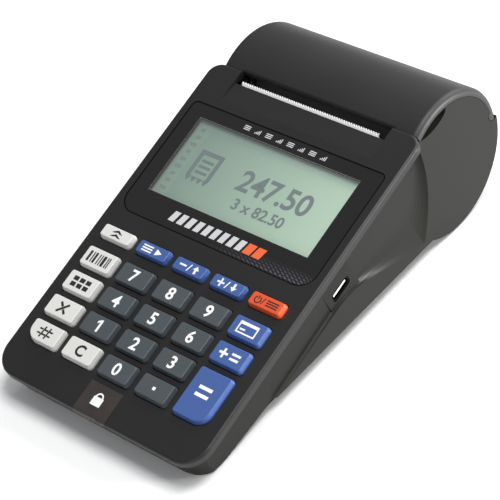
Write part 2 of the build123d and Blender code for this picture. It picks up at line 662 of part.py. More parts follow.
# finger scoops: a band under the deck that widens to the rear and curls out to two creases
band_front = body_front - WALL
band_top = rim_foot + 1
ledge_end = deck_rear - LEDGE_END
band_crease = [(band_front, band_top), (band_front, BAND_FOOT), (ledge_end, BAND_FOOT)]
band_floor = [(band_front, band_top), (band_front, BAND_FOOT + LEDGE_SLOPE), (ledge_end, BAND_FOOT + LEDGE_SLOPE)]
crease = band_crease + on_side(SCOOP_LOWER + [SCOOP_TIP] + SCOOP_REAR) + [(deck_rear - SCOOP_TOP, band_top)]
floor_edge = band_floor + on_side(FLOOR_LOWER + [FLOOR_TIP] + FLOOR_REAR) + [(deck_rear - FLOOR_TOP, band_top)]
tip_index = len(band_crease) + len(SCOOP_LOWER)


def scoop_wire(share):
    """The closed wire at a share of the way from a scoop's crease to the edge of its flat floor."""
    sunk = 1 - (1 - share) ** 2
    points = []
    for (crease_y, crease_z), (floor_y, floor_z) in zip(crease, floor_edge):
        y = crease_y + share * (floor_y - crease_y)
        z = crease_z + share * (floor_z - crease_z)
        points.append((body_half + SIDE_CUT - sunk * (band_depth(y) + SIDE_CUT), y, z))
    lower = Spline(*points[2:tip_index + 1])
    rear = Spline(*points[tip_index:])
    return Wire([Line(points[0], points[1]), Line(points[1], points[2]), lower, rear, Line(points[-1], points[0])])


scoop = Solid.make_loft([scoop_wire(step / SCOOP_STEPS) for step in range(SCOOP_STEPS + 1)], ruled=True)
for piece in both_sides(scoop):
    lower_housing -= DECK * piece

# side port: a pad that rises from the right band towards its foot, with the connector's mouth in it
port_z = -MAIN_BOARD_DROP - BOARD - PORT_HEIGHT / 2 - PORT_SHELL
band_x = body_half - band_depth(PORT_BACK)
pad_face = Polygon(
    (cavity_half, -PAD_TOP), (band_x, -PAD_TOP), (band_x + PAD_RISE, -PAD_FOOT), (cavity_half, -PAD_FOOT), align=None
)
pad = extrude(Plane.XZ * pad_face, PAD_WIDTH, dir=(0, 1, 0))
lower_housing += DECK * Pos(0, PORT_BACK - PAD_WIDTH / 2, 0) * pad


def port_tube(grow, left, right):
    """A rounded bar with the connector's section, grown on every side."""
    mouth = RectangleRounded(PORT_WIDTH + 2 * grow, PORT_HEIGHT + 2 * grow, PORT_HEIGHT / 2.4)
    place = Plane(origin=(left, PORT_BACK, port_z), x_dir=(0, 1, 0), z_dir=(1, 0, 0))
    return extrude(place * mouth, right - left)


lower_housing -= DECK * port_tube(PORT_SHELL + PORT_PLAY, cavity_half - 1, body_half)
pad_slope = PAD_RISE / (PAD_FOOT - PAD_TOP)
port_face = band_x + pad_slope * (-port_z - PAD_TOP) - PORT_INSET
port_back_x = port_face - PORT_LENGTH
side_port = port_tube(PORT_SHELL, port_back_x, port_face)
side_port -= port_tube(0, port_back_x + PORT_SHELL, port_face + 1)
side_port += block(
    (port_back_x, port_face - PORT_INSET), (PORT_BACK - TONGUE_WIDTH / 2, PORT_BACK + TONGUE_WIDTH / 2),
    (port_z - TONGUE / 2, port_z + TONGUE / 2),
)
write("side_port", side_port)

# battery bay: a stepped opening in the belly for the door
battery_y = (belly_start[0] + BATTERY_FRONT_ROOM, drum_desk[0] - BATTERY_REAR_ROOM)
battery_half = cavity_half - BATTERY_SIDE_ROOM
board_foot = -MAIN_BOARD_DROP - BOARD
board_over_battery = (battery_y[0] - shift + board_foot * slope_sin) / slope_cos
battery_top = desk(board_over_battery, board_foot)[1] - BATTERY_TOP_GAP
bay_half = battery_half + BAY_SIDE_GAP
bay_y = (battery_y[0] - BAY_END_GAP, battery_y[1] + BAY_END_GAP)
door_half = bay_half + DOOR_LEDGE
door_y = (bay_y[0] - DOOR_TAB, bay_y[1] + DOOR_TAB)
door_top = belly_z + DOOR_SKIN
lower_housing -= block((-door_half, door_half), door_y, (belly_z - 1, door_top))
lower_housing -= block((-bay_half, bay_half), bay_y, (belly_z - 1, inner_floor + 1))
door = block((-door_half + DOOR_GAP, door_half - DOOR_GAP), (door_y[0] + DOOR_GAP, door_y[1] - DOOR_GAP),
             (belly_z, door_top))
door += block((-bay_half + DOOR_GAP, bay_half - DOOR_GAP), (bay_y[0] + DOOR_GAP, bay_y[1] - DOOR_GAP),
              (door_top, inner_floor))
door_screw_ys = [door_y[0] + DOOR_TAB / 2, door_y[1] - DOOR_TAB / 2]
door_screws = []
boss_top = inner_floor + DOOR_BOSS
thread_top = inner_floor + DOOR_THREAD
head_top = belly_z + DOOR_SKIN * 0.75
for y in door_screw_ys:
    lower_housing += Pos(0, y, (door_top + boss_top) / 2) * Cylinder(2 * SCREW_SHANK, boss_top - door_top)
    lower_housing -= Pos(0, y, (door_top + thread_top) / 2) * Cylinder(SCREW_SHANK, thread_top - door_top)
    door -= Pos(0, y, (belly_z - 1 + head_top) / 2) * Cylinder(SCREW_HEAD - SCREW_PLAY, head_top - belly_z + 1)
    door -= Pos(0, y, belly_z) * Cylinder(SCREW_SHANK + SCREW_PLAY, 4 * DOOR_SKIN)
    head = Pos(0, y, (belly_z + head_top) / 2) * Cylinder(SCREW_HEAD - 2 * SCREW_PLAY, head_top - belly_z)
    shank = Pos(0, y, (head_top + thread_top) / 2) * Cylinder(SCREW_SHANK, thread_top - head_top)
    door_screws.append(head + shank)
write("battery_door", door, Pos(0, 0, 0))
write("door_screws", door_screws, Pos(0, 0, 0))
battery_pack = block((-battery_half, battery_half), battery_y, (inner_floor, battery_top))
battery_round = BATTERY_ROUND * (battery_top - inner_floor)
write("battery_pack", fillet(battery_pack.edges().filter_by(Axis.X), battery_round), Pos(0, 0, 0))

# posts and screws that hold the two housings together
housing_screws = []
lip_room = raised(lip_plan, -LIP_DEPTH - COVER_GAP, 0)
lip_room -= raised(offset(lip_hole, -COVER_GAP), -LIP_DEPTH - 1, 1)
for x, y, floor, seat, split in (front_screw, middle_screw):
    post = Pos(x, y, (floor + split) / 2 + WALL / 4) * Cylinder(SCREW_POST, split - floor - WALL / 2) - lip_room
    well = Pos(x, y, (floor - SCREW_CUT + seat) / 2) * Cylinder(SCREW_HEAD + SCREW_HEAD_PLAY, seat - floor + SCREW_CUT)
    hole = Pos(x, y, split) * Cylinder(SCREW_SHANK + SCREW_PLAY, 2 * (split - seat) + 1)
    head = Pos(x, y, seat - SCREW_HEAD_HEIGHT / 2) * Cylinder(SCREW_HEAD, SCREW_HEAD_HEIGHT)
    shank = Pos(x, y, (seat - SCREW_TOP) / 2) * Cylinder(SCREW_SHANK, -SCREW_TOP - seat)
    for post_piece, well_piece, hole_piece in zip(both_sides(post), both_sides(well), both_sides(hole)):
        lower_housing += DECK * post_piece
        lower_housing -= DECK * well_piece
        lower_housing -= DECK * hole_piece
    housing_screws += both_sides(head + shank)
write("housing_screws", housing_screws)

# feet: two round ones under the chin and two pads under the drum
front_foot_x = body_half - FOOT_FRONT_SIDE
front_foot_y = (chin_front[0] + ramp_start[0]) / 2 + FOOT_FRONT_BACK
foot_height = FOOT_STAND + FOOT_SINK
rear_foot_x = (body_half - FOOT_REAR_SIDE - FOOT_REAR_WIDTH / 2, body_half - FOOT_REAR_SIDE + FOOT_REAR_WIDTH / 2)
rear_foot_y = (drum_desk[0] - FOOT_REAR_LENGTH / 2, drum_desk[0] + FOOT_REAR_LENGTH / 2)
for grow, low in ((0, 0), (FOOT_PLAY, -1)):
    round_foot = Pos(front_foot_x, front_foot_y, (low + foot_height) / 2) * Cylinder(
        FOOT_RADIUS + grow, foot_height - low
    )
    pad_foot = block((rear_foot_x[0] - grow, rear_foot_x[1] + grow), (rear_foot_y[0] - grow, rear_foot_y[1] + grow),
                     (low, foot_height))
    shapes = both_sides(round_foot) + both_sides(pad_foot)
    if grow:
        for piece in shapes:
            lower_housing -= piece
    else:
        feet = shapes
write("rubber_feet", feet, Pos(0, 0, 0))
write("lower_housing", lower_housing, Pos(0, 0, 0))

# ---------------------------------------------------------------- paper
down = degrees(atan2(-slope_cos, -slope_sin))
roll = around(DRUM_RADIUS - WALL - roll_radius - ROLL_GAP, down, drum)
write("paper_roll", bar(roll_radius, -paper_half, paper_half, roll) - bar(CORE_RADIUS, -far, far, roll))
write("roll_core", bar(CORE_RADIUS, -paper_half, paper_half, roll) - bar(CORE_BORE, -far, far, roll))
cradle_half = paper_half + CRADLE_GAP + CRADLE_WALL
cradle_inner = roll_radius + CRADLE_GAP
cradle_top = platen[1] - CRADLE_DROP
cradle_limit = bar(DRUM_RADIUS - WALL - CRADLE_PLAY, -cradle_half, cradle_half, drum)
cradle_wall = bar(cradle_inner + CRADLE_WALL, -cradle_half, cradle_half, roll)
cradle_wall -= bar(cradle_inner, -cradle_half + CRADLE_WALL, cradle_half - CRADLE_WALL, roll)
cradle_wall &= block((-far, far), (drum_y - far, roll[0]), (-far, cradle_top))
write("roll_cradle", cradle_wall & cradle_limit)

# ---------------------------------------------------------------- paper drive


def gear(teeth, phase):
    """A spur gear about X: straight-flanked teeth with backlash, one tooth centred on the phase angle."""
    pitch_radius = GEAR_MODULE * teeth / 2
    root = pitch_radius - GEAR_DEDENDUM * GEAR_MODULE
    tip_radius = pitch_radius + GEAR_ADDENDUM * GEAR_MODULE
    half, flank = GEAR_TOOTH * GEAR_MODULE, GEAR_FLANK * GEAR_MODULE
    body = Circle(root + GEAR_ROOT_FILL * GEAR_MODULE)
    tooth = Polygon(
        (root - flank, -half - 1.2 * flank), (tip_radius, -half + 0.9 * flank),
        (tip_radius, half - 0.9 * flank), (root - flank, half + 1.2 * flank), align=None,
    )
    for i in range(teeth):
        body += Rot(0, 0, phase + i * 360 / teeth) * tooth
    return extrude(Plane.YZ * body, GEAR_WIDTH)


def toward(start, end):
    """Direction from one YZ point to another, degrees."""
    return degrees(atan2(end[1] - start[1], end[0] - start[0]))


pitch = GEAR_MODULE * pi
platen_pitch, idler_pitch, pinion_pitch = [GEAR_MODULE * z / 2 for z in (PLATEN_TEETH, IDLER_TEETH, PINION_TEETH)]
# the cover's swing carries the platen straight away from the idler
opening_direction = toward(hinge, platen) - 90
idler = around(platen_pitch + idler_pitch + MESH_GAP, opening_direction + 180, platen)
motor = around(idler_pitch + pinion_pitch + MESH_GAP, MOTOR_DIRECTION, idler)
idler_phase = toward(idler, platen)
platen_phase = toward(platen, idler) + 180 / PLATEN_TEETH
offset_on_idler = radians((idler_phase - MOTOR_DIRECTION) % (360 / IDLER_TEETH)) * idler_pitch
pinion_phase = MOTOR_DIRECTION + 180 - degrees((offset_on_idler + pitch / 2) / pinion_pitch)


def gear_at(teeth, phase, bore, centre):
    """A gear at its place beside the printer frame."""
    blank = Pos(gear_left, centre[0], centre[1]) * gear(teeth, phase)
    return blank - bar(bore, gear_left - 1, gear_left + GEAR_WIDTH + 1, centre)


write("platen_gear", gear_at(PLATEN_TEETH, platen_phase, PLATEN_SHAFT, platen))
write("idler_gear", gear_at(IDLER_TEETH, idler_phase, IDLER_PIN + SHAFT_RUNNING, idler))
write("motor_pinion", gear_at(PINION_TEETH, pinion_phase, MOTOR_SHAFT, motor))
write("idler_pin", bar(IDLER_PIN, frame_half, gear_right, idler))
write("platen_shaft", bar(PLATEN_SHAFT, -frame_half - FRAME_SHEET, gear_right, platen))
sleeve = bar(PLATEN_RADIUS, -bar_half, bar_half, platen)
write("platen_sleeve", sleeve - bar(PLATEN_SHAFT, -far, far, platen))
bushing = bar(BUSHING_RADIUS, frame_half, frame_half + FRAME_SHEET, platen)
bushing -= bar(PLATEN_SHAFT + SHAFT_RUNNING, frame_half - 1, frame_half + FRAME_SHEET + 1, platen)
write("platen_bushings", both_sides(bushing))

# printer frame: two side plates, a floor and a cross bar; the notches follow the platen's swing
swing = hypot(platen[0] - hinge[0], platen[1] - hinge[1])
plate_front = motor[0] - MOTOR_SHAFT - FRAME_MARGIN
plate_top = -FRAME_TOP
plate_foot = idler[1] - FRAME_FOOT
side_plate_points = [
    (plate_front, plate_top - FRAME_CHAMFER), (plate_front + FRAME_CHAMFER, plate_top),
    (platen[0] - BUSHING_RADIUS, plate_top), (platen[0] + 2 * BUSHING_RADIUS, platen[1] - IDLER_PIN),
    (platen[0] + FRAME_CHAMFER, platen[1] - FRAME_FLOOR), (idler[0] + BUSHING_RADIUS, plate_foot),
    (plate_front, plate_foot),
]
side_plate = slab(frame_half, frame_half + FRAME_SHEET, side_plate_points)
notch_ring = bar(swing + BUSHING_RADIUS + NOTCH_PLAY, frame_half - 1, frame_half + FRAME_SHEET + 1, hinge)
notch_ring -= bar(swing - BUSHING_RADIUS - NOTCH_PLAY, frame_half - 2, frame_half + FRAME_SHEET + 2, hinge)
notch_zone = slab(frame_half - 1, frame_half + FRAME_SHEET + 1, [
    platen, around(far, opening_direction - 90, platen),
    around(2 * far, opening_direction - 45, platen), around(2 * far, opening_direction + 45, platen),
    around(far, opening_direction + 90, platen),
])
side_plate -= notch_ring & notch_zone
side_plate -= bar(BUSHING_RADIUS + NOTCH_PLAY, frame_half - 1, frame_half + FRAME_SHEET + 1, platen)
floor_rear = plate_front + FRAME_FLOOR
cross_x = (-frame_half - FRAME_LAP, frame_half + FRAME_LAP)
printer_frame = side_plate + mirror(side_plate, Plane.YZ) + block(
    cross_x, (plate_front, floor_rear), (plate_foot, plate_foot + FRAME_SHEET)
)
bar_y = (slot_front - CROSS_BAR_AHEAD, slot_front - CROSS_BAR_AHEAD + CROSS_BAR)
bar_z = (plate_top - CROSS_BAR, plate_top)
printer_frame += block(cross_x, bar_y, bar_z)
for centre, radius in ((motor, MOTOR_SHAFT + NOTCH_PLAY), (idler, IDLER_PIN)):
    printer_frame -= bar(radius, frame_half - 1, frame_half + FRAME_SHEET + 1, centre)
write("printer_frame", printer_frame)

motor_end = frame_half - MOTOR_LENGTH
shaft_end = motor_end + FRAME_SHEET
print_motor = bar(MOTOR_RADIUS, motor_end, frame_half, motor)
print_motor -= bar(MOTOR_SHAFT + NOTCH_PLAY / 2, shaft_end, frame_half + 1, motor)
write("print_motor", print_motor)
write("motor_shaft", bar(MOTOR_SHAFT, shaft_end, gear_right, motor))


def head_slab(half, near, thickness):
    """A plate across the machine, square to the line from the platen to the print head."""
    outward = HEAD_DIRECTION
    def at(distance, along):
        point = around(distance, outward, platen)
        return around(along, outward - 90, point)
    return slab(-half, half, [at(near, HEAD_UP), at(near, -HEAD_DOWN), at(near + thickness, -HEAD_DOWN),
                              at(near + thickness, HEAD_UP)])


head_near = PLATEN_RADIUS + HEAD_GAP
write("print_head", head_slab(paper_half, head_near, HEAD_THICKNESS))
write("head_heat_sink", head_slab(frame_half - HEAD_PLAY, head_near + HEAD_THICKNESS, SINK_THICKNESS))
spring_start = (bar_y[1], (bar_z[0] + bar_z[1]) / 2)
spring_end = around(head_near + HEAD_THICKNESS + SINK_THICKNESS, HEAD_DIRECTION, platen)
spring_tip = (spring_end[0] - SPRING_SHEET, spring_end[1])
write("head_spring", slab(-SPRING_WIDTH / 2, SPRING_WIDTH / 2, [
    spring_start, (spring_start[0], spring_start[1] - SPRING_SHEET), spring_tip,
    (spring_tip[0], spring_tip[1] + SPRING_SHEET),
]))

# ---------------------------------------------------------------- main board
board_rear = plate_front - BOARD_REAR_GAP
board_front = (inner_floor + BOARD_FLOOR_GAP - lift - board_foot * slope_cos) / slope_sin
board_half = middle_screw[0] - SCREW_POST - BOARD_GAP
board_z = (board_foot, -MAIN_BOARD_DROP)
main_board = block((-board_half, board_half), (board_front, board_rear), board_z)
tab_half = PORT_WIDTH / 2 + BOARD_TAB
main_board += block((0, cavity_half - BOARD_GAP), (PORT_BACK - tab_half, PORT_BACK + tab_half), board_z)
for across, along, size in CHIPS:
    chip_place = Pos((2 * across - 1) * board_half, board_front + along * (board_rear - board_front))
    main_board += chip_place * Pos(0, 0, CHIP_HEIGHT / 2 - MAIN_BOARD_DROP) * Box(size, size, CHIP_HEIGHT)
write("main_board", main_board)

# ---------------------------------------------------------------- seal film over the front edge
edge_centre = (DECK_FRONT + DECK_EDGE, -DECK_EDGE)


def film_path(thickness):
    """Points of the film's outer or inner face: deck, round edge, rim, then the body's front."""
    arc = [around(DECK_EDGE + thickness, 90 + 22.5 * step, edge_centre) for step in range(5)]
    step = body_front - thickness
    return [(FILM_REAR, thickness), *arc, (DECK_FRONT - thickness, rim_foot - thickness / 2),
            (step, rim_foot - BODY_SETBACK - thickness / 2), (step, FILM_FOOT)]


film = slab(-FILM_WIDTH / 2, FILM_WIDTH / 2, film_path(FILM_GAP + FILM) + film_path(FILM_GAP)[::-1])
write("seal_film", film)
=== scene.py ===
# %% [markdown]
# # A portable ticket register
# A small cash register with its own receipt printer: a sloping deck of keys with a grey-green display,
# and a round paper housing behind it. The moulded parts come ready-made from the CAD frame. Here they get
# their finishes, and the printing, key legends and display content that a CAD solid doesn't carry.

# %% Load the frame
import bpy
from math import cos, radians, sin
from mathutils import Matrix, Vector


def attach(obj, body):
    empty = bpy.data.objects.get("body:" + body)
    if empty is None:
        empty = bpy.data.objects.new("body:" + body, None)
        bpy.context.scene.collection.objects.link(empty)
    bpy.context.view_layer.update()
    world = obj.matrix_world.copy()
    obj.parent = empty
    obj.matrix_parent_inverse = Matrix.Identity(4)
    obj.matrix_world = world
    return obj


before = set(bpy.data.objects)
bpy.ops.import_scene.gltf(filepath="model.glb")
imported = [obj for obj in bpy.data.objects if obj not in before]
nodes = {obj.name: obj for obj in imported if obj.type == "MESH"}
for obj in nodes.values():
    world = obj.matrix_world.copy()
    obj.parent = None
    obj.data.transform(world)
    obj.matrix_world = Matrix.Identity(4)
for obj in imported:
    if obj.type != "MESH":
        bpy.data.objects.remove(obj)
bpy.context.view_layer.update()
MM = 0.001
PER_METRE = 1000

# %% [markdown]
# ## The deck's own directions
# The deck slopes, so everything printed on it is easiest to place in the deck's own directions: x to the
# right, y up the slope, z square to it, in millimetres from the middle key of the 7 8 9 row. One matrix
# turns such a place into the world's metres. Working it out once is safer than tilting each piece by eye.

# %% Deck directions
DECK_TILT = radians(16.8)
DECK_SHIFT = -36.916
DECK_LIFT = 26.203
deck_frame = (
    Matrix.Translation((0, DECK_SHIFT * MM, DECK_LIFT * MM))
    @ Matrix.Rotation(DECK_TILT, 4, "X")
    @ Matrix.Scale(MM, 4)
)


def on_deck(x, y, z=0.0):
    """A deck place in millimetres, as a world point in metres."""
    return deck_frame @ Vector((x, y, z))


print("middle key", [round(v, 4) for v in on_deck(0, 0)])

# %% [markdown]
# ## Shader arithmetic as plain expressions
# A finish is a small graph of nodes. Wiring every Math node by hand hides the idea, so a socket is wrapped
# in a class whose operators add the node: `1 - mask` then reads like the formula it is. Any other node
# comes from one method that takes its type, its settings and its inputs.

# %% A socket with arithmetic
class Wire:
    """An output socket of one finish, with arithmetic that adds Math nodes."""

    def __init__(self, finish, socket):
        self.finish = finish
        self.socket = socket

    def _math(self, operation, *values, clamp=False):
        settings = {"operation": operation, "use_clamp": clamp}
        return self.finish.add("ShaderNodeMath", settings, dict(enumerate(values)))

    def __add__(self, other):
        return self._math("ADD", self, other)

    __radd__ = __add__

    def __sub__(self, other):
        return self._math("SUBTRACT", self, other)

    def __rsub__(self, other):
        return self._math("SUBTRACT", other, self)

    def __mul__(self, other):
        return self._math("MULTIPLY", self, other)

    __rmul__ = __mul__

    def __truediv__(self, other):
        return self._math("DIVIDE", self, other)

    def __mod__(self, other):
        return self._math("FLOORED_MODULO", self, other)

    def __abs__(self):
        return self._math("ABSOLUTE", self)

    def lowest(self, other):
        return self._math("MINIMUM", self, other)

    def highest(self, other):
        return self._math("MAXIMUM", self, other)

    def held(self):
        """The value held between 0 and 1."""
        return self._math("ADD", self, 0.0, clamp=True)

    def past(self, limit, blur):
        """0 below a limit and 1 above it, across a blur."""
        return ((self - limit) / blur + 0.5).held()


# %% [markdown]
# ## A finish
# Each finish is one material around Blender's Principled shader. What is the same all over goes straight
# on the shader's sockets; what varies, such as a grain, is linked. Places on the surface come from object
# coordinates, because every piece of the frame shares one origin, so a print lands where it belongs.

# %% The finish class
class Finish:
    """One material: constants on the shader's sockets, and wires for what varies."""

    def __init__(self, name, **constants):
        self.material = bpy.data.materials.new(name)
        self.material.use_nodes = True
        self.tree = self.material.node_tree
        self.shader = self.tree.nodes["Principled BSDF"]
        for socket, value in constants.items():
            self.shader.inputs[socket.replace("_", " ")].default_value = value

    def add(self, kind, settings=None, inputs=None, output=0):
        """Any node: its type, its settings, and the values or wires of its sockets."""
        node = self.tree.nodes.new(kind)
        for key, value in (settings or {}).items():
            setattr(node, key, value)
        for key, value in (inputs or {}).items():
            if isinstance(value, Wire):
                self.tree.links.new(value.socket, node.inputs[key])
            else:
                node.inputs[key].default_value = value
        return Wire(self, node.outputs[output])

    def feed(self, socket, wire):
        """Link a wire to one of the shader's sockets."""
        self.tree.links.new(wire.socket, self.shader.inputs[socket])

    def mix(self, share, first, second):
        """One colour turning into another."""
        return self.add("ShaderNodeMix", {"data_type": "RGBA"}, {0: share, 6: first, 7: second}, output=2)

    def noise(self, scale, detail=2.0, rough=0.5):
        """Cloudy noise over the surface, about 0 to 1."""
        inputs = {"Vector": self.place(), "Scale": scale, "Detail": detail, "Roughness": rough}
        return self.add("ShaderNodeTexNoise", {}, inputs)

    def place(self):
        """Object coordinates, in metres."""
        return self.add("ShaderNodeTexCoord", output="Object")

    def deck_place(self):
        """x, y and z wires in the deck's millimetres."""
        parts = [self.add("ShaderNodeSeparateXYZ", {}, {0: self.place()}, output=axis) for axis in "XYZ"]
        x = parts[0] * PER_METRE
        back = parts[1] * PER_METRE - DECK_SHIFT
        up = parts[2] * PER_METRE - DECK_LIFT
        return x, back * cos(DECK_TILT) + up * sin(DECK_TILT), up * cos(DECK_TILT) - back * sin(DECK_TILT)

    def bump(self, height, distance):
        """Relief of a given depth in metres, into the shader's normal."""
        inputs = {"Height": height, "Distance": distance, "Strength": 1.0}
        self.feed("Normal", self.add("ShaderNodeBump", {}, inputs))


sample = Finish("sample")
print("1 - noise adds a node for", (1 - sample.noise(10.0)).socket.node.operation)
bpy.data.materials.remove(sample.material)

# %% [markdown]
# ## The shade inside the paper slot
# The walls of the paper slot stand close together, and hardly any light comes back out. To get that from
# the lamps alone, the whole inside of the housing would have to be as crowded as the real one. A mask in
# deck millimetres marks the inside of the slot instead, and the finishes of the deck and the cover turn
# black there. The same mask of a rectangle serves later for the display window.

# %% Masks in deck millimetres
SLOT = (-32.2, 32.2, 76.7, 85.5)
SLOT_BLUR = 0.05
SLOT_SHADE_DEPTH = -0.95
SLOT_SHADE_BLUR = 0.1


def within(x, y, rectangle, blur):
    """1 inside a rectangle given as left, right, front and rear, and 0 outside it."""
    left, right, front, rear = rectangle
    return (x - left).lowest(right - x).lowest((y - front).lowest(rear - y)).past(0.0, blur)


def slot_shade(finish):
    """1 inside the paper slot and 0 elsewhere."""
    x, y, z = finish.deck_place()
    return within(x, y, SLOT, SLOT_BLUR) * (1 - z.past(SLOT_SHADE_DEPTH, SLOT_SHADE_BLUR))


print("shaded slot", round(SLOT[1] - SLOT[0], 1), "by", round(SLOT[3] - SLOT[2], 1))

# %% [markdown]
# ## Moulded ABS
# The housings are injection-moulded ABS with a fine spark-eroded grain. A grain could be a picture or real
# dents; a noise of about a third of a millimetre, pushed into the normal, gives the same soft glint at
# any distance. A second, broad noise varies the tone and the gloss a little, as handling does.

# %% A moulded finish
GRAIN_DEPTH, GRAIN_SCALE = 0.000012, 3200.0
BROAD_SCALE = 28.0
BROAD_SHARE, FINE_SHARE = 0.75, 0.25
BROAD_GLOSS, FINE_GLOSS = 0.12, 0.08
UNLIT = (0.001, 0.001, 0.001, 1.0)


def opaque(shade, factor=1.0):
    """A shade of three channels, made darker or lighter, as a colour."""
    return (*[channel * factor for channel in shade], 1.0)


def moulded(name, shade, roughness, grain=GRAIN_DEPTH, grain_scale=GRAIN_SCALE, variation=0.18, shine=0.5,
            by_slot=False):
    """A grained surface of a given shine, varied a little in tone and gloss; by the slot it has its shade."""
    finish = Finish(name, Specular_IOR_Level=shine)
    broad = finish.noise(BROAD_SCALE, 3.0)
    dark, light = opaque(shade, 1 - variation), opaque(shade, 1 + variation)
    fine = finish.noise(grain_scale, 2.0, 0.6)
    tone = finish.mix((broad * BROAD_SHARE + fine * FINE_SHARE).held(), dark, light)
    gloss = roughness + (broad - 0.5) * BROAD_GLOSS + (fine - 0.5) * FINE_GLOSS
    if by_slot:
        unlit = slot_shade(finish)
        tone = finish.mix(unlit, tone, UNLIT)
        gloss = gloss.highest(unlit)
    finish.feed("Base Color", tone)
    finish.feed("Roughness", gloss)
    finish.bump(fine, grain)
    return finish


print("grains are", round(PER_METRE / GRAIN_SCALE, 2), "mm wide")

# %% [markdown]
# ## The housings
# The deck, the base and the paper cover are black, each a shade apart, as separate mouldings come out. A
# CAD node arrives with a plain finish of its own, and swapping that one finish leaves its shape alone. The
# battery door and the roll's cradle are moulded in the base's plastic.

# %% Housings
def dress(finish, *names):
    """Give CAD nodes a finish in place of the one they came with."""
    for name in names:
        mesh = nodes[name].data
        mesh.materials.clear()
        mesh.materials.append(finish.material)


dress(moulded("deck_abs", (0.0135, 0.0132, 0.0129), 0.42, shine=0.34, by_slot=True), "upper_housing")
body_abs = moulded("body_abs", (0.0080, 0.0079, 0.0060), 0.37, shine=0.19)
dress(body_abs, "lower_housing", "battery_door", "roll_cradle")
dress(moulded("cover_abs", (0.0098, 0.0095, 0.0090), 0.50, by_slot=True), "roll_cover")
print("housings dressed")

# %% [markdown]
# ## Keys
# The caps are moulded too, and slightly satin: six warm white ones, six blue, one orange, and the number
# keys in a dark grey with a faint blue. The same moulding function serves, with a finer and shallower
# grain and less change of tone.

# %% Keys
LIGHT_KEYS = ["key_feed", "key_plu", "key_dep", "key_vd", "key_qty", "key_clear"]
BLUE_KEYS = ["key_func", "key_minus", "key_plus", "key_pay", "key_subtotal", "key_total"]
DARK_KEYS = [f"key_{digit}" for digit in range(10)] + ["key_point"]
KEY_GRAIN = {"grain": 0.000006, "grain_scale": 4200.0}
dress(moulded("light_cap", (0.60, 0.60, 0.575), 0.38, variation=0.05, **KEY_GRAIN), *LIGHT_KEYS)
dress(moulded("blue_cap", (0.047, 0.096, 0.285), 0.38, variation=0.08, **KEY_GRAIN), *BLUE_KEYS)
dress(moulded("dark_cap", (0.055, 0.066, 0.073), 0.40, variation=0.10, **KEY_GRAIN), *DARK_KEYS)
dress(moulded("orange_cap", (0.61, 0.076, 0.019), 0.38, variation=0.06, **KEY_GRAIN), "key_mode")
print("keys dressed", len(LIGHT_KEYS) + len(BLUE_KEYS) + len(DARK_KEYS) + 1)

# %% [markdown]
# ## The display window
# The window is a clear sheet with black ink on its back, left open over the display. A hole cut in a
# second sheet would do; here one mask in deck millimetres opens the ink, so it can't drift from the
# display below. The lower right corner carries a fading hatch of slanted grey ticks.

# %% Window
WINDOW = (-34.3, 33.4, 29.9, 60.3)
WINDOW_BLUR = 0.12
WINDOW_CLEARNESS = 0.94
WINDOW_GLASS = (0.8, 0.85, 0.8, 1.0)
BLACK_INK = (0.010, 0.0098, 0.0098, 1.0)
HATCH_INK = (0.085, 0.075, 0.10, 1.0)
HATCH_FRONT, HATCH_STRENGTH, EDGE_SHARE = 19.9, 1.6, 0.5
TICK_LEAN, TICK_PITCH, TICK_GAP, TICK_BLUR = 1.6, 1.9, 0.95, 0.25
ROW_FRONT, ROW_PITCH, ROW_DEPTH, ROW_BLUR = 19.6, 0.95, 0.62, 0.15


def corner_fade(x, y, left, reach, depth):
    """Rising rightward over a reach, and falling from the window's front edge over a depth."""
    return ((x - left) / reach).held() * (1 - ((y - HATCH_FRONT) / depth).held())


window_finish = Finish("printed_window", Roughness=0.16, IOR=1.49)
x, y, _ = window_finish.deck_place()
clear = within(x, y, WINDOW, WINDOW_BLUR)
ticks = ((x + y * TICK_LEAN) % TICK_PITCH).past(TICK_GAP, TICK_BLUR)
rows = 1 - ((y - ROW_FRONT) % ROW_PITCH).past(ROW_DEPTH, ROW_BLUR)
wide_fade = corner_fade(x, y, left=2.0, reach=34.0, depth=5.2)
edge_fade = corner_fade(x, y, left=-3.0, reach=8.0, depth=1.2) * EDGE_SHARE
hatch = (ticks * rows * (wide_fade + edge_fade) * HATCH_STRENGTH).held()
ink = window_finish.mix(hatch, BLACK_INK, HATCH_INK)
window_finish.feed("Base Color", window_finish.mix(clear, ink, WINDOW_GLASS))
window_finish.feed("Alpha", 1 - clear * WINDOW_CLEARNESS)
dress(window_finish, "display_lens")
print("window opening", round(WINDOW[1] - WINDOW[0], 1), "by", round(WINDOW[3] - WINDOW[2], 1))

# %% [markdown]
# ## The liquid crystal
# The display is a grey-green reflective glass. Light and shade are painted into its colour: it is painted
# brighter toward the right, where the light comes from, and painted darker under the window's edge, where
# that edge shades it. Its left strip for icons is a shade apart. A faint grid of dots is printed in it. The
# same deck millimetres place all of that.

# %% Display glass
def rgba(red, green, blue):
    """A linear colour from screen values between 11 and 255."""
    return (*[((value / 255 + 0.055) / 1.055) ** 2.4 for value in (red, green, blue)], 1.0)


GLASS_LEFT, GLASS_WIDTH = -34, 67
STRIP_END, STRIP_BLUR, STRIP_SHARE = -29.0, 0.25, 0.55
REAR_PLACE, REAR_BLUR, REAR_SHARE = 58.6, 3.4, 0.6
DOT_PITCH, DOT_GAP, DOT_BLUR, DOT_SHARE = 0.55, 0.47, 0.05, 0.10

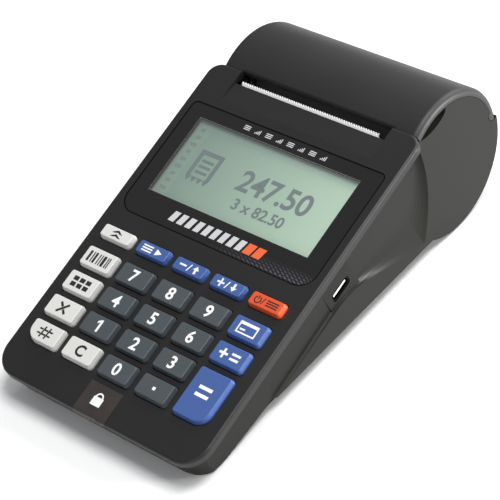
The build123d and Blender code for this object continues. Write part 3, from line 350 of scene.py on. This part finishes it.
glass = Finish("liquid_crystal", Roughness=0.35, IOR=1.5)
x, y, _ = glass.deck_place()
# Painted light: the glass is painted brighter toward the right, where the light comes from.
across = ((x - GLASS_LEFT) / GLASS_WIDTH).held()
crystal_with_painted_light = glass.mix(across, rgba(84, 110, 98), rgba(158, 184, 162))
icon_strip = 1 - x.past(STRIP_END, STRIP_BLUR)
crystal_with_painted_light = glass.mix(icon_strip * STRIP_SHARE, crystal_with_painted_light, rgba(104, 128, 116))
# Painted shadow: darker under the window's edge, which shades the glass.
rear_shade = y.past(REAR_PLACE, REAR_BLUR)
crystal_with_painted_light = glass.mix(rear_shade * REAR_SHARE, crystal_with_painted_light, rgba(96, 118, 116))
columns, rows = [(place % DOT_PITCH).past(DOT_GAP, DOT_BLUR) for place in (x, y)]
dots = columns.highest(rows) * DOT_SHARE
glass.feed("Base Color", glass.mix(dots, crystal_with_painted_light, rgba(120, 140, 135)))
dress(glass, "lcd_glass")
print("display dressed, dots every", DOT_PITCH, "mm")

# %% [markdown]
# ## Metals
# The shafts and the printer's frame are bright rolled steel. Rolling and turning leave fine lines, which a
# picture could show; a noise stretched along x draws them here, in the tone, the gloss and a faint relief.
# The screws are blackened, and the heat sink is aluminium. The tear bar is steel, but its colour is a painted
# sheen: a pale, non-metallic satin that stands in for the bright light its fine teeth send back. The moulding
# function suits that better, with a grain so smooth that it hardly shows, which later serves for inks and
# other smooth things too.

# %% Metals
SMOOTH_GRAIN = {"grain": 0.000004, "grain_scale": 5000.0}
LINE_STRETCH = (60.0, 4000.0, 4000.0)
LINE_SHADE, LINE_GLOSS, LINE_RELIEF = 0.8, 0.15, 0.000004


def rolled(name, shade, roughness):
    """Rolled or turned metal: lines along x, in the tone, in the gloss and faintly in the relief."""
    finish = Finish(name, Metallic=1.0)
    along = finish.add("ShaderNodeMapping", {}, {"Vector": finish.place(), "Scale": LINE_STRETCH})
    lines = finish.add("ShaderNodeTexNoise", {}, {"Vector": along, "Scale": 1.0, "Detail": 3.0})
    finish.feed("Base Color", finish.mix(lines, opaque(shade, LINE_SHADE), opaque(shade)))
    finish.feed("Roughness", roughness + (lines - 0.5) * LINE_GLOSS)
    finish.bump(lines, LINE_RELIEF)
    return finish


# The tear bar's pale colour is a painted sheen, not the steel's own colour.
dress(moulded("blade_painted_sheen", (0.78, 0.78, 0.77), 0.30, variation=0.04, **SMOOTH_GRAIN), "tear_bar")
steel = rolled("rolled_steel", (0.72, 0.72, 0.71), 0.30)
dress(steel, "printer_frame", "hinge_pin", "motor_shaft", "idler_pin", "platen_shaft", "head_spring",
      "print_motor")
dress(rolled("blackened_steel", (0.10, 0.10, 0.105), 0.45), "housing_screws", "door_screws")
dress(rolled("pressed_aluminium", (0.70, 0.71, 0.73), 0.38), "head_heat_sink")
print("metals dressed")

# %% [markdown]
# ## The side port
# The connector is a steel shell, and its colour carries painted light and shade: the shell is painted
# near-black as shade, and a thin band along its edge is painted bright and mostly non-metallic, as the
# highlight that edge catches. They are one piece in the frame, so a mask picks the band out, by its place
# along the side and its depth under the deck.

# %% Side port
PORT_PLACE, PORT_DROP = 30.4, 15.5
GLINT_HALF_LENGTH, GLINT_HALF_DEPTH, GLINT_BLUR = 3.3, 0.40, 0.1
GLINT_METALLIC = 0.3

shell = rolled("plated_shell", (0.05, 0.05, 0.05), 0.40)
_, y, z = shell.deck_place()
# The painted highlight: a bright band where the shell's edge catches the light.
painted_glint = (GLINT_HALF_LENGTH - abs(y - PORT_PLACE)).past(0.0, GLINT_BLUR)
painted_glint = painted_glint * (GLINT_HALF_DEPTH - abs(z + PORT_DROP)).past(0.0, GLINT_BLUR)
stain = shell.noise(900.0)
# The shell is painted near-black as shade and the band bright as a painted highlight; a noise varies both.
shaded_shell = shell.mix(stain, opaque((0.02, 0.02, 0.02)), opaque((0.04, 0.04, 0.04)))
lit_shell = shell.mix(stain, opaque((0.80, 0.80, 0.78)), opaque((0.90, 0.90, 0.88)))
shell.feed("Base Color", shell.mix(painted_glint, shaded_shell, lit_shell))
shell.feed("Metallic", 1 - painted_glint * (1 - GLINT_METALLIC))
dress(shell, "side_port")
print("side port dressed, tongue", 2 * GLINT_HALF_LENGTH, "long")

# %% [markdown]
# ## Rubber, plastics and paper
# These pieces are inside or underneath and seldom seen, but each still gets the finish it has: silicone
# and rubber are matt, acetal gears and the ceramic head are smooth, and paper and card are rough. One
# function with other values makes them all, which is simpler than a graph for each.

# %% Rubber, plastics and paper
dress(moulded("silicone_mat", (0.16, 0.16, 0.165), 0.62), "keypad_mat")
dress(moulded("roller_rubber", (0.022, 0.022, 0.023), 0.70), "platen_sleeve")
dress(moulded("foot_rubber", (0.014, 0.014, 0.014), 0.80, grain=0.00002, grain_scale=1800.0), "rubber_feet")
acetal = moulded("acetal", (0.72, 0.71, 0.66), 0.35, variation=0.05, **SMOOTH_GRAIN)
dress(acetal, "platen_gear", "idler_gear", "motor_pinion", "platen_bushings")
glaze = moulded("ceramic_strip", (0.66, 0.65, 0.60), 0.22, grain=0.000003, grain_scale=5000.0, variation=0.05)
dress(glaze, "print_head")
dress(moulded("milky_diffuser", (0.74, 0.76, 0.72), 0.45, variation=0.04, **SMOOTH_GRAIN), "lcd_backlight")
wrap = moulded("cell_wrap", (0.018, 0.035, 0.11), 0.30, grain=0.000004, grain_scale=900.0, variation=0.12)
dress(wrap, "battery_pack")
paper = moulded("thermal_paper", (0.80, 0.80, 0.78), 0.75, grain=0.000006, grain_scale=2600.0, variation=0.03)
dress(paper, "paper_roll")
card = moulded("core_card", (0.36, 0.25, 0.14), 0.85, grain=0.00002, grain_scale=1500.0, variation=0.15)
dress(card, "roll_core")
print("rubber, plastics and paper dressed")

# %% [markdown]
# ## The circuit boards
# A board is glass cloth under green solder mask, and the copper tracks below show as paler green lines.
# Real tracks would be a drawing; slanted lines that cross an edge every tenth of an inch, broken up by a
# noise, read the same at this distance.

# %% Circuit boards
TRACK_PITCH, TRACK_GAP, TRACK_BLUR = 2.54, 2.1, 0.06

solder_mask = Finish("solder_mask", Roughness=0.32, Coat_Weight=0.3)
x, y, _ = solder_mask.deck_place()
tracks = ((x + y) % TRACK_PITCH).past(TRACK_GAP, TRACK_BLUR) * solder_mask.noise(220.0).past(0.5, 0.1)
track_green = solder_mask.mix(tracks, opaque((0.012, 0.09, 0.03)), opaque((0.03, 0.17, 0.06)))
solder_mask.feed("Base Color", track_green)
dress(solder_mask, "lcd_board", "keypad_board", "main_board")
print("boards dressed")

# %% [markdown]
# ## The seal film
# A strip of smoky clear film wraps over the front edge. It is see-through with a warm tone, glossier than
# the deck, and a little cloudy where the glue beneath is uneven. Real transmission would need many more
# samples for a film this thin, so it is a dark surface with some alpha, which one noise clouds.

# %% Seal film
FILM_ALPHA, FILM_CLOUDING = 0.50, 0.25
FILM_RELIEF = 0.00003

film = Finish("smoky_film", Roughness=0.22, IOR=1.5)
cloud = film.noise(160.0, 4.0)
film.feed("Base Color", film.mix(cloud, opaque((0.042, 0.036, 0.033)), opaque((0.064, 0.056, 0.051))))
film.feed("Alpha", FILM_ALPHA + cloud * FILM_CLOUDING)
film.bump(cloud, FILM_RELIEF)
dress(film, "seal_film")
print("film dressed")

# %% [markdown]
# ## Printed marks as thin pieces
# Legends could be painted in a shader, but a number is an outline, and outlines are what meshes are good
# at. Each mark is a flat shape a few hundredths of a millimetre thick, with its middle on its key's top,
# and it rides on that key so that it goes down with it.

# %% A mark from outlines
MARK_DEPTH = 0.04


def add_piece(name, mesh, finish, body):
    """A mesh as a new piece in one finish, riding on a body."""
    mesh.materials.clear()
    mesh.materials.append(finish.material)
    piece = bpy.data.objects.new(name, mesh)
    bpy.context.scene.collection.objects.link(piece)
    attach(piece, body)


def mark(name, outlines, height, finish, body, centre=(0.0, 0.0)):
    """A thin piece from closed outlines in deck millimetres, half of it above a height."""
    cx, cy = centre
    verts, faces = [], []
    for outline in outlines:
        count, start = len(outline), len(verts)
        for level in (height - MARK_DEPTH / 2, height + MARK_DEPTH / 2):
            verts += [on_deck(cx + px, cy + py, level) for px, py in outline]
        faces.append([start + i for i in reversed(range(count))])
        faces.append([start + count + i for i in range(count)])
        for i in range(count):
            j = (i + 1) % count
            faces.append([start + i, start + j, start + count + j, start + count + i])
    mesh = bpy.data.meshes.new(name)
    mesh.from_pydata(verts, [], faces)
    add_piece(name, mesh, finish, body)


print("a mark is", MARK_DEPTH, "mm thick")

# %% [markdown]
# ## Numerals
# A text curve already holds the outlines of numerals. It is turned into a mesh, measured, and set down on
# the deck with its middle on a place, so that no numeral's own side spacing pushes it off its key. The
# curve's offset makes the strokes a little heavier, as screen printing does.

# %% Numerals
DIGIT_HEIGHT, DIGIT_BOLD = 4.4, 0.022


def number(name, text, size, height, finish, body, centre, bold):
    """Plain numerals as a thin piece, centred on a deck place; size is their height in millimetres."""
    curve = bpy.data.curves.new(name + "_outline", "FONT")
    curve.body = text
    curve.align_x = "CENTER"
    curve.offset = bold
    curve.resolution_u = 4
    curve.extrude = 0.5
    outline = bpy.data.objects.new(name + "_outline", curve)
    bpy.context.scene.collection.objects.link(outline)
    flat = bpy.data.meshes.new_from_object(outline.evaluated_get(bpy.context.evaluated_depsgraph_get()))
    bpy.data.objects.remove(outline)
    lows = [min(v.co[axis] for v in flat.vertices) for axis in (0, 1)]
    highs = [max(v.co[axis] for v in flat.vertices) for axis in (0, 1)]
    scale = size / (highs[1] - lows[1])
    for vertex in flat.vertices:
        px = centre[0] + (vertex.co.x - (lows[0] + highs[0]) / 2) * scale
        py = centre[1] + (vertex.co.y - (lows[1] + highs[1]) / 2) * scale
        vertex.co = on_deck(px, py, height + vertex.co.z * MARK_DEPTH)
    add_piece(name, flat, finish, body)


print("numerals of", DIGIT_HEIGHT, "mm on the keys")

# %% [markdown]
# ## Legends of the number keys
# The keys stand in columns and rows of one pitch each, with a row of small keys behind them and a tall key
# at the end of the last column, so every key's centre follows from three values. The 1 has an outline of
# its own: a plain bar with a short flag, without the foot that a text curve gives it.

# %% Legends of the number keys
KEY_COLUMN = 15.97
KEY_ROW = 9.87
SMALL_ROW = 10.3
KEY_TOP = 2.0

key_centres = {}
for row, names in enumerate((("plu", "7", "8", "9", "pay"), ("dep", "4", "5", "6", "subtotal"),
                             ("vd", "1", "2", "3", None), ("qty", "clear", "0", "point", None))):
    for column, name in enumerate(names):
        if name:
            key_centres[name] = ((column - 2) * KEY_COLUMN, -row * KEY_ROW)
for column, name in enumerate(("feed", "func", "minus", "plus", "mode")):
    key_centres[name] = ((column - 2) * KEY_COLUMN, SMALL_ROW)
key_centres["total"] = (2 * KEY_COLUMN, -2.5 * KEY_ROW)

white_ink = moulded("white_ink", (0.80, 0.80, 0.80), 0.45, variation=0.03, **SMOOTH_GRAIN)
for digit in "023456789":
    number(f"legend_{digit}", digit, DIGIT_HEIGHT, KEY_TOP, white_ink, f"key_{digit}", key_centres[digit],
           DIGIT_BOLD)
one = [(0.0, -2.2), (0.85, -2.2), (0.85, 2.2), (0.1, 2.2), (-1.0, 1.45), (-1.0, 0.6), (0.0, 1.25)]
mark("legend_1", [one], KEY_TOP, white_ink, "key_1", key_centres["1"])
print("key centres", len(key_centres))

# %% [markdown]
# ## Bars
# The other keys carry signs drawn from a few shapes, and most of them are bars, upright, leaning or turned.
# Each shape is a function that returns one closed outline in millimetres, and a sign is a list of them.

# %% Bars
def bar(cx, cy, width, height, lean=0.0):
    """A bar; lean moves its top sideways."""
    half_w, half_h, half_lean = width / 2, height / 2, lean / 2
    return [(cx - half_w - half_lean, cy - half_h), (cx + half_w - half_lean, cy - half_h),
            (cx + half_w + half_lean, cy + half_h), (cx - half_w + half_lean, cy + half_h)]


def slanted(cx, cy, length, stroke, angle):
    """A bar turned by an angle in degrees."""
    along = Vector((cos(radians(angle)), sin(radians(angle)))) * (length / 2)
    aside = Vector((-along.y, along.x)).normalized() * (stroke / 2)
    middle = Vector((cx, cy))
    return [tuple(middle - along - aside), tuple(middle + along - aside), tuple(middle + along + aside),
            tuple(middle - along + aside)]


print("corners of a bar", bar(0, 0, 2, 1))

# %% [markdown]
# ## Arrows and rings
# Arrows and arrowheads are outlines too, worked out from a width and a height. A ring has no straight
# edge, so its band runs along one arc and back along another in short steps.

# %% Arrows and rings
def arrow(cx, cy, width, height, up=1):
    """A block arrow pointing up, or down where up is -1."""
    head, stem = height * 0.5, width * 0.34
    points = [(-stem / 2, -height / 2), (stem / 2, -height / 2), (stem / 2, height / 2 - head),
              (width / 2, height / 2 - head), (0, height / 2), (-width / 2, height / 2 - head),
              (-stem / 2, height / 2 - head)]
    placed = [(cx + px, cy + up * py) for px, py in points]
    return placed if up > 0 else placed[::-1]


def roof(cx, cy, width, height, notch):
    """A broad arrowhead with a notch in its underside."""
    half = width / 2
    return [(cx - half, cy), (cx - half * 0.45, cy), (cx, cy + notch), (cx + half * 0.45, cy),
            (cx + half, cy), (cx, cy + height)]


def arc_band(cx, cy, radius, stroke, start, end, steps=16):
    """Part of a ring, between two angles in degrees."""
    angles = [radians(start + (end - start) * i / steps) for i in range(steps + 1)]
    outer = [(cx + (radius + stroke / 2) * cos(a), cy + (radius + stroke / 2) * sin(a)) for a in angles]
    inner = [(cx + (radius - stroke / 2) * cos(a), cy + (radius - stroke / 2) * sin(a)) for a in angles]
    return outer + inner[::-1]


print("corners of a half ring", len(arc_band(0, 0, 1, 0.1, 0, 180)))

# %% [markdown]
# ## Legends of the other keys
# The signs are the plain ones of a calculator or till: arrows, plus and minus, a power sign, code stripes,
# a card, and an equals sign. Pale keys are printed in black and dark ones in white.

# %% Legends of the other keys
CLEAR_HEIGHT, CLEAR_BOLD = 4.1, 0.03
black_ink = moulded("black_ink", (0.012, 0.013, 0.015), 0.45, variation=0.10, **SMOOTH_GRAIN)
signs = {
    "point": [bar(0, -0.1, 1.1, 1.1)],
    "feed": [roof(0, 0.25, 4.6, 1.25, 0.42), roof(0, -1.25, 4.6, 1.25, 0.42)],
    "func": [bar(-2.2, 0.95, 4.2, 0.5), bar(-2.2, 0, 4.2, 0.5), bar(-2.2, -0.95, 4.2, 0.5),
             [(1.4, -1.2), (3.9, 0.0), (1.4, 1.2)]],
    "minus": [bar(-2.6, 0.1, 2.8, 0.62), bar(0, 0, 0.42, 2.6, 0.9), arrow(2.7, 0, 2.4, 2.8)],
    "plus": [bar(-2.6, 0, 2.8, 0.62), bar(-2.6, 0.95, 0.62, 1.0), bar(-2.6, -0.95, 0.62, 1.0),
             bar(0, 0, 0.42, 2.6, 0.9), arrow(2.7, 0, 2.4, 2.8, -1)],
    "mode": [arc_band(-3.3, -0.1, 1.15, 0.42, 120, 420), bar(-3.3, 0.75, 0.42, 1.3),
             bar(-1.2, 0, 0.36, 2.4, 0.8), bar(2.4, 0.85, 4.6, 0.46), bar(2.4, 0, 4.6, 0.46),
             bar(2.4, -0.85, 4.6, 0.46)],
    "plu": [bar(place, 0, width, 3.9) for place, width in
            ((-4.0, 0.9), (-2.6, 0.45), (-1.5, 0.9), (0.0, 0.45), (1.0, 0.45), (2.2, 1.1), (3.6, 0.45),
             (4.4, 0.45))],
    "dep": [bar(px, py, 2.1, 1.6) for px in (-2.7, 0.0, 2.7) for py in (-1.1, 1.1)],
    "vd": [slanted(0, 0, 5.2, 0.85, 45), slanted(-1.1, 1.1, 2.0, 0.85, -45),
           slanted(1.1, -1.1, 2.0, 0.85, -45)],
    "qty": [bar(-0.95, 0, 0.62, 4.1, 0.6), bar(1.15, 0, 0.62, 4.1, 0.6), bar(-2.0, 0.8, 1.35, 0.6),
            bar(0.15, 0.8, 1.4, 0.6), bar(2.3, 0.8, 1.35, 0.6), bar(-2.2, -0.8, 1.35, 0.6),
            bar(-0.05, -0.8, 1.4, 0.6), bar(2.1, -0.8, 1.35, 0.6)],
    "pay": [bar(0, 1.55, 7.4, 1.0), bar(0, -1.85, 7.4, 0.5), bar(-3.45, -0.3, 0.5, 2.6),
            bar(3.45, -0.3, 0.5, 2.6), bar(-1.6, -0.6, 2.0, 0.6)],
    "subtotal": [bar(-2.3, 0, 3.3, 0.8), bar(-2.3, 1.03, 0.8, 1.25), bar(-2.3, -1.03, 0.8, 1.25),
                 bar(2.3, 0.85, 3.4, 0.8), bar(2.3, -0.85, 3.4, 0.8)],
    "total": [bar(0, 2.2, 5.2, 1.15), bar(0, -0.4, 5.2, 1.15)],
}
for name, outlines in signs.items():
    dark_print = f"key_{name}" in LIGHT_KEYS or name == "mode"
    ink = black_ink if dark_print else white_ink
    mark(f"legend_{name}", outlines, KEY_TOP, ink, f"key_{name}", key_centres[name])
number("legend_clear", "C", CLEAR_HEIGHT, KEY_TOP, black_ink, "key_clear", key_centres["clear"], CLEAR_BOLD)
print("legends", len(key_centres))

# %% [markdown]
# ## The seal's sign
# The film seals the housing, so it carries a closed padlock in white.

# %% Padlock
FILM_TOP = 0.17
PADLOCK_PLACE = (-0.4, -40.3)
padlock = [bar(0, -0.9, 4.0, 3.0), arc_band(0, 0.6, 1.3, 0.55, 0, 180)]
mark("seal_padlock", padlock, FILM_TOP, white_ink, "housing", PADLOCK_PLACE)
print("padlock outlines", len(padlock))

# %% [markdown]
# ## What the display shows
# A till display shows an amount, the count and price that made it on a line below, and a sign for what is
# open, here a receipt with a torn edge. The numerals are thin dark pieces lying on the display glass, the
# way switched crystal looks from outside, in a bluish grey, not in black.

# %% Amount and count
CRYSTAL_LEVEL, CRYSTAL_BOLD = -2.17, 0.02
AMOUNT_SIZE, AMOUNT_PLACE = 8.2, (7.5, 46.2)
COUNT_SIZE, COUNT_PLACE = 4.2, (6.5, 37.6)

crystal = moulded("switched_crystal", (0.052, 0.083, 0.093), 0.50, variation=0.10, **SMOOTH_GRAIN)
number("shown_amount", "247.50", AMOUNT_SIZE, CRYSTAL_LEVEL, crystal, "housing", AMOUNT_PLACE, CRYSTAL_BOLD)
number("shown_count", "3 x 82.50", COUNT_SIZE, CRYSTAL_LEVEL, crystal, "housing", COUNT_PLACE, CRYSTAL_BOLD)
print("amount and count shown")

# %% [markdown]
# ## The receipt sign and the idle icons
# The receipt is a bar across the top, two sides, three lines of print and a row of paper teeth. Icons that
# are switched off still show faintly in the strip at the left, so they have a paler crystal.

# %% Receipt sign and idle icons
RECEIPT_MIDDLE, RECEIPT_WIDTH, RECEIPT_STROKE = -22.1, 9.8, 1.6
RECEIPT_TOP, SIDE_MIDDLE, SIDE_HEIGHT = 50.2, 45.1, 8.6
PRINT_LINES, PRINT_WIDTH, PRINT_HEIGHT = (47.2, 45.0, 42.8), 5.0, 1.0
RECEIPT_TEETH, TOOTH_BASE, TOOTH_TIP = 4, 40.8, 38.6
IDLE_ICONS, IDLE_COLUMN, IDLE_START, IDLE_PITCH = 9, -31.7, 33.2, 3.0

receipt = [bar(RECEIPT_MIDDLE, RECEIPT_TOP, RECEIPT_WIDTH, RECEIPT_STROKE)]
for side in (-1, 1):
    side_place = RECEIPT_MIDDLE + side * (RECEIPT_WIDTH - RECEIPT_STROKE) / 2
    receipt.append(bar(side_place, SIDE_MIDDLE, RECEIPT_STROKE, SIDE_HEIGHT))
receipt += [bar(RECEIPT_MIDDLE, line, PRINT_WIDTH, PRINT_HEIGHT) for line in PRINT_LINES]
tooth = RECEIPT_WIDTH / RECEIPT_TEETH
for i in range(RECEIPT_TEETH):
    left = RECEIPT_MIDDLE - RECEIPT_WIDTH / 2 + tooth * i
    receipt.append([(left, TOOTH_BASE), (left + tooth / 2, TOOTH_TIP), (left + tooth, TOOTH_BASE)])
mark("shown_receipt", receipt, CRYSTAL_LEVEL, crystal, "housing")

faint_crystal = moulded("idle_crystal", (0.085, 0.135, 0.115), 0.50, variation=0.06, **SMOOTH_GRAIN)
idle = [bar(IDLE_COLUMN, IDLE_START + IDLE_PITCH * i, 2.6 - 0.5 * (i % 3), 1.3) for i in range(IDLE_ICONS)]
mark("idle_icons", idle, CRYSTAL_LEVEL, faint_crystal, "housing")
print("icons", len(idle), "receipt outlines", len(receipt))

# %% [markdown]
# ## Small signs above the display
# A row of small signs is printed on the window above the display. Groups of level bars and of rising bars
# take turns; they are generic shapes with the weight and the place that such printing has.

# %% Status row
LENS_TOP = -0.1
STATUS_GROUPS, STATUS_START, STATUS_PITCH = 8, -15.6, 4.6
STATUS_STROKE = 0.34
LEVEL_WIDTH, LEVEL_START, LEVEL_PITCH = 2.6, 62.35, 0.65
RISING_PITCH, RISING_BASE = 0.6, 62.05

grey_ink = moulded("grey_ink", (0.52, 0.52, 0.53), 0.45, variation=0.05, **SMOOTH_GRAIN)
status = []
for group in range(STATUS_GROUPS):
    middle = STATUS_START + group * STATUS_PITCH
    if group % 2:
        heights = [0.5 + 0.4 * i for i in range(4)]
        status += [bar(middle + RISING_PITCH * (i - 1.5), RISING_BASE + height / 2, STATUS_STROKE, height)
                   for i, height in enumerate(heights)]
    else:
        status += [bar(middle, LEVEL_START + LEVEL_PITCH * i, LEVEL_WIDTH, STATUS_STROKE) for i in range(3)]
mark("status_row", status, LENS_TOP, grey_ink, "housing")
print("status groups", STATUS_GROUPS)

# %% [markdown]
# ## The gap round the window
# The window sits in the deck with a hair of clearance all round, which shows as a thin black line of shade.
# That shade is painted: a flat frame at the deck's level, four straight bars and four quarter rings, in a
# black with no shine.

# %% Gap round the window
LENS = (-40.45, 40.45, 19.95, 65.45)
FRONT_CORNER, REAR_CORNER = 6.05, 2.05
GAP_WIDTH = 0.36

left, right, front, rear = LENS
straight = rear - REAR_CORNER - front - FRONT_CORNER
gap = [bar(0, front, right - left - 2 * FRONT_CORNER, GAP_WIDTH),
       bar(0, rear, right - left - 2 * REAR_CORNER, GAP_WIDTH)]
gap += [bar(side, front + FRONT_CORNER + straight / 2, GAP_WIDTH, straight) for side in (left, right)]
corners = ((right - FRONT_CORNER, front + FRONT_CORNER, FRONT_CORNER, -90),
           (left + FRONT_CORNER, front + FRONT_CORNER, FRONT_CORNER, 180),
           (right - REAR_CORNER, rear - REAR_CORNER, REAR_CORNER, 0),
           (left + REAR_CORNER, rear - REAR_CORNER, REAR_CORNER, 90))
gap += [arc_band(cx, cy, radius, GAP_WIDTH, turn, turn + 90) for cx, cy, radius, turn in corners]

gap_black = Finish("gap_black", Roughness=0.95, Specular_IOR_Level=0.05)
# Painted shade of the clearance gap, with a little noise in its black.
gap_shade_tone = gap_black.mix(gap_black.noise(400.0), opaque((0.001, 0.001, 0.001)), opaque((0.002, 0.002, 0.002)))
gap_black.feed("Base Color", gap_shade_tone)
mark("window_gap", gap, 0.0, gap_black, "housing")
print("gap outlines", len(gap))

# %% [markdown]
# ## The strip below the display
# A bolder row of slanted bars stands below the display, and its last two are orange and wider. One loop
# spaces them evenly, which is easier to change than nine places.

# %% Slanted strip
STRIP_ROW, STRIP_HEIGHT, STRIP_LEAN = 24.7, 3.9, 0.9
STRIP_BARS, STRIP_START, STRIP_PITCH, STRIP_WIDTH = 9, -18.6, 3.55, 2.35
WIDE_BARS, WIDE_WIDTH = (13.55, 17.5), 3.2

slants = [bar(STRIP_START + STRIP_PITCH * i, STRIP_ROW, STRIP_WIDTH, STRIP_HEIGHT, STRIP_LEAN)
          for i in range(STRIP_BARS)]
mark("slanted_strip", slants, LENS_TOP, grey_ink, "housing")
orange_ink = moulded("orange_ink", (0.70, 0.115, 0.035), 0.45, variation=0.05, **SMOOTH_GRAIN)
wide_slants = [bar(place, STRIP_ROW, WIDE_WIDTH, STRIP_HEIGHT, STRIP_LEAN) for place in WIDE_BARS]
mark("slanted_strip_end", wide_slants, LENS_TOP, orange_ink, "housing")
print("slanted bars", len(slants) + len(wide_slants))

# %% [markdown]
# ## The floor and the sky
# A pale matt floor stands in for a studio sweep, and a dim even sky fills the shadows. The black deck
# mirrors the sky, so a brighter one would turn it grey.

# %% Floor and sky
FLOOR_REACH = 3.0
SKY_STRENGTH = 0.32

floor_corners = [(-FLOOR_REACH, -FLOOR_REACH, 0), (FLOOR_REACH, -FLOOR_REACH, 0),
                 (FLOOR_REACH, FLOOR_REACH, 0), (-FLOOR_REACH, FLOOR_REACH, 0)]
floor_mesh = bpy.data.meshes.new("studio_floor")
floor_mesh.from_pydata(floor_corners, [], [(0, 1, 2, 3)])
floor = bpy.data.objects.new("studio_floor", floor_mesh)
bpy.context.scene.collection.objects.link(floor)
sweep = Finish("studio_sweep", Roughness=0.9, Specular_IOR_Level=0.1)
sweep.feed("Base Color", sweep.mix(sweep.noise(3.0), opaque((0.86, 0.86, 0.86)), opaque((0.90, 0.90, 0.90))))
floor_mesh.materials.append(sweep.material)

world = bpy.data.worlds.new("studio_sky")
world.use_nodes = True
background = world.node_tree.nodes["Background"]
background.inputs["Color"].default_value = (0.95, 0.97, 1.0, 1.0)
background.inputs["Strength"].default_value = SKY_STRENGTH
bpy.context.scene.world = world
print("floor", 2 * FLOOR_REACH, "metres wide, sky strength", SKY_STRENGTH)

# %% [markdown]
# ## The lamps
# One soft lamp overhead lights the deck, one behind gives the round cover its highlight, a weak one in
# front fills the key fronts, and a small one near the floor at the rear right catches the scoop in the
# side. Area lamps are used, because their size is what makes the edges of highlights and shadows soft.

# %% Lamps
def lamp(name, place, aim, size, power):
    """A square soft lamp looking at a point."""
    light = bpy.data.lights.new(name, "AREA")
    light.size = size
    light.energy = power
    holder = bpy.data.objects.new(name, light)
    holder.location = place
    holder.rotation_euler = (Vector(aim) - Vector(place)).to_track_quat("-Z", "Y").to_euler()
    bpy.context.scene.collection.objects.link(holder)


lamp("key_lamp", place=(0.35, 0.1, 1.1), aim=(0.0, 0.0, 0.02), size=0.5, power=11.5)
lamp("rear_lamp", place=(0.1, 0.9, 0.6), aim=(0.0, 0.05, 0.02), size=0.8, power=8.5)
lamp("front_lamp", place=(0.4, -1.1, 0.5), aim=(0.0, 0.0, 0.02), size=0.5, power=2.5)
lamp("low_lamp", place=(0.70, 0.42, 0.12), aim=(0.04, 0.0, 0.02), size=0.2, power=8.0)
bpy.context.scene.view_settings.view_transform = "Standard"
print("lamps", len(bpy.data.lights))

# %% [markdown]
# ## The camera
# A long lens from above the right front corner. Its place and turn are given in the deck's directions,
# which is how they were worked out, and one matrix product brings them to the room. The turn is a vector
# with the axis as its direction and the angle as its length. The focal length is in pixels of a square
# image, so it is turned into millimetres of the sensor.

# %% Camera
IMAGE_SIDE = 500
FOCAL_PIXELS = 2059.7
MIDDLE_X, MIDDLE_Y = 247.7, 251.0
SENSOR_WIDTH = 36.0
EYE = (381.6, -153.2, 499.6)
LOOK_TURN = Vector((2.517, 0.675, -0.705))

lens_data = bpy.data.cameras.new("studio_camera")
lens_data.sensor_width = SENSOR_WIDTH
lens_data.lens = FOCAL_PIXELS / IMAGE_SIDE * SENSOR_WIDTH
lens_data.shift_x = (IMAGE_SIDE / 2 - MIDDLE_X) / IMAGE_SIDE
lens_data.shift_y = (MIDDLE_Y - IMAGE_SIDE / 2) / IMAGE_SIDE
lens_data.clip_start = 0.05

right_axis, down_axis, ahead_axis = Matrix.Rotation(LOOK_TURN.length, 3, LOOK_TURN.normalized())
camera_turn = Matrix((right_axis, -down_axis, -ahead_axis)).transposed().to_4x4()
deck_turn = Matrix.Rotation(DECK_TILT, 4, "X")
camera = bpy.data.objects.new("studio_camera", lens_data)
camera.matrix_world = Matrix.Translation(on_deck(*EYE)) @ deck_turn @ camera_turn
bpy.context.scene.collection.objects.link(camera)
bpy.context.scene.camera = camera
print("camera at", [round(v, 3) for v in camera.matrix_world.translation])
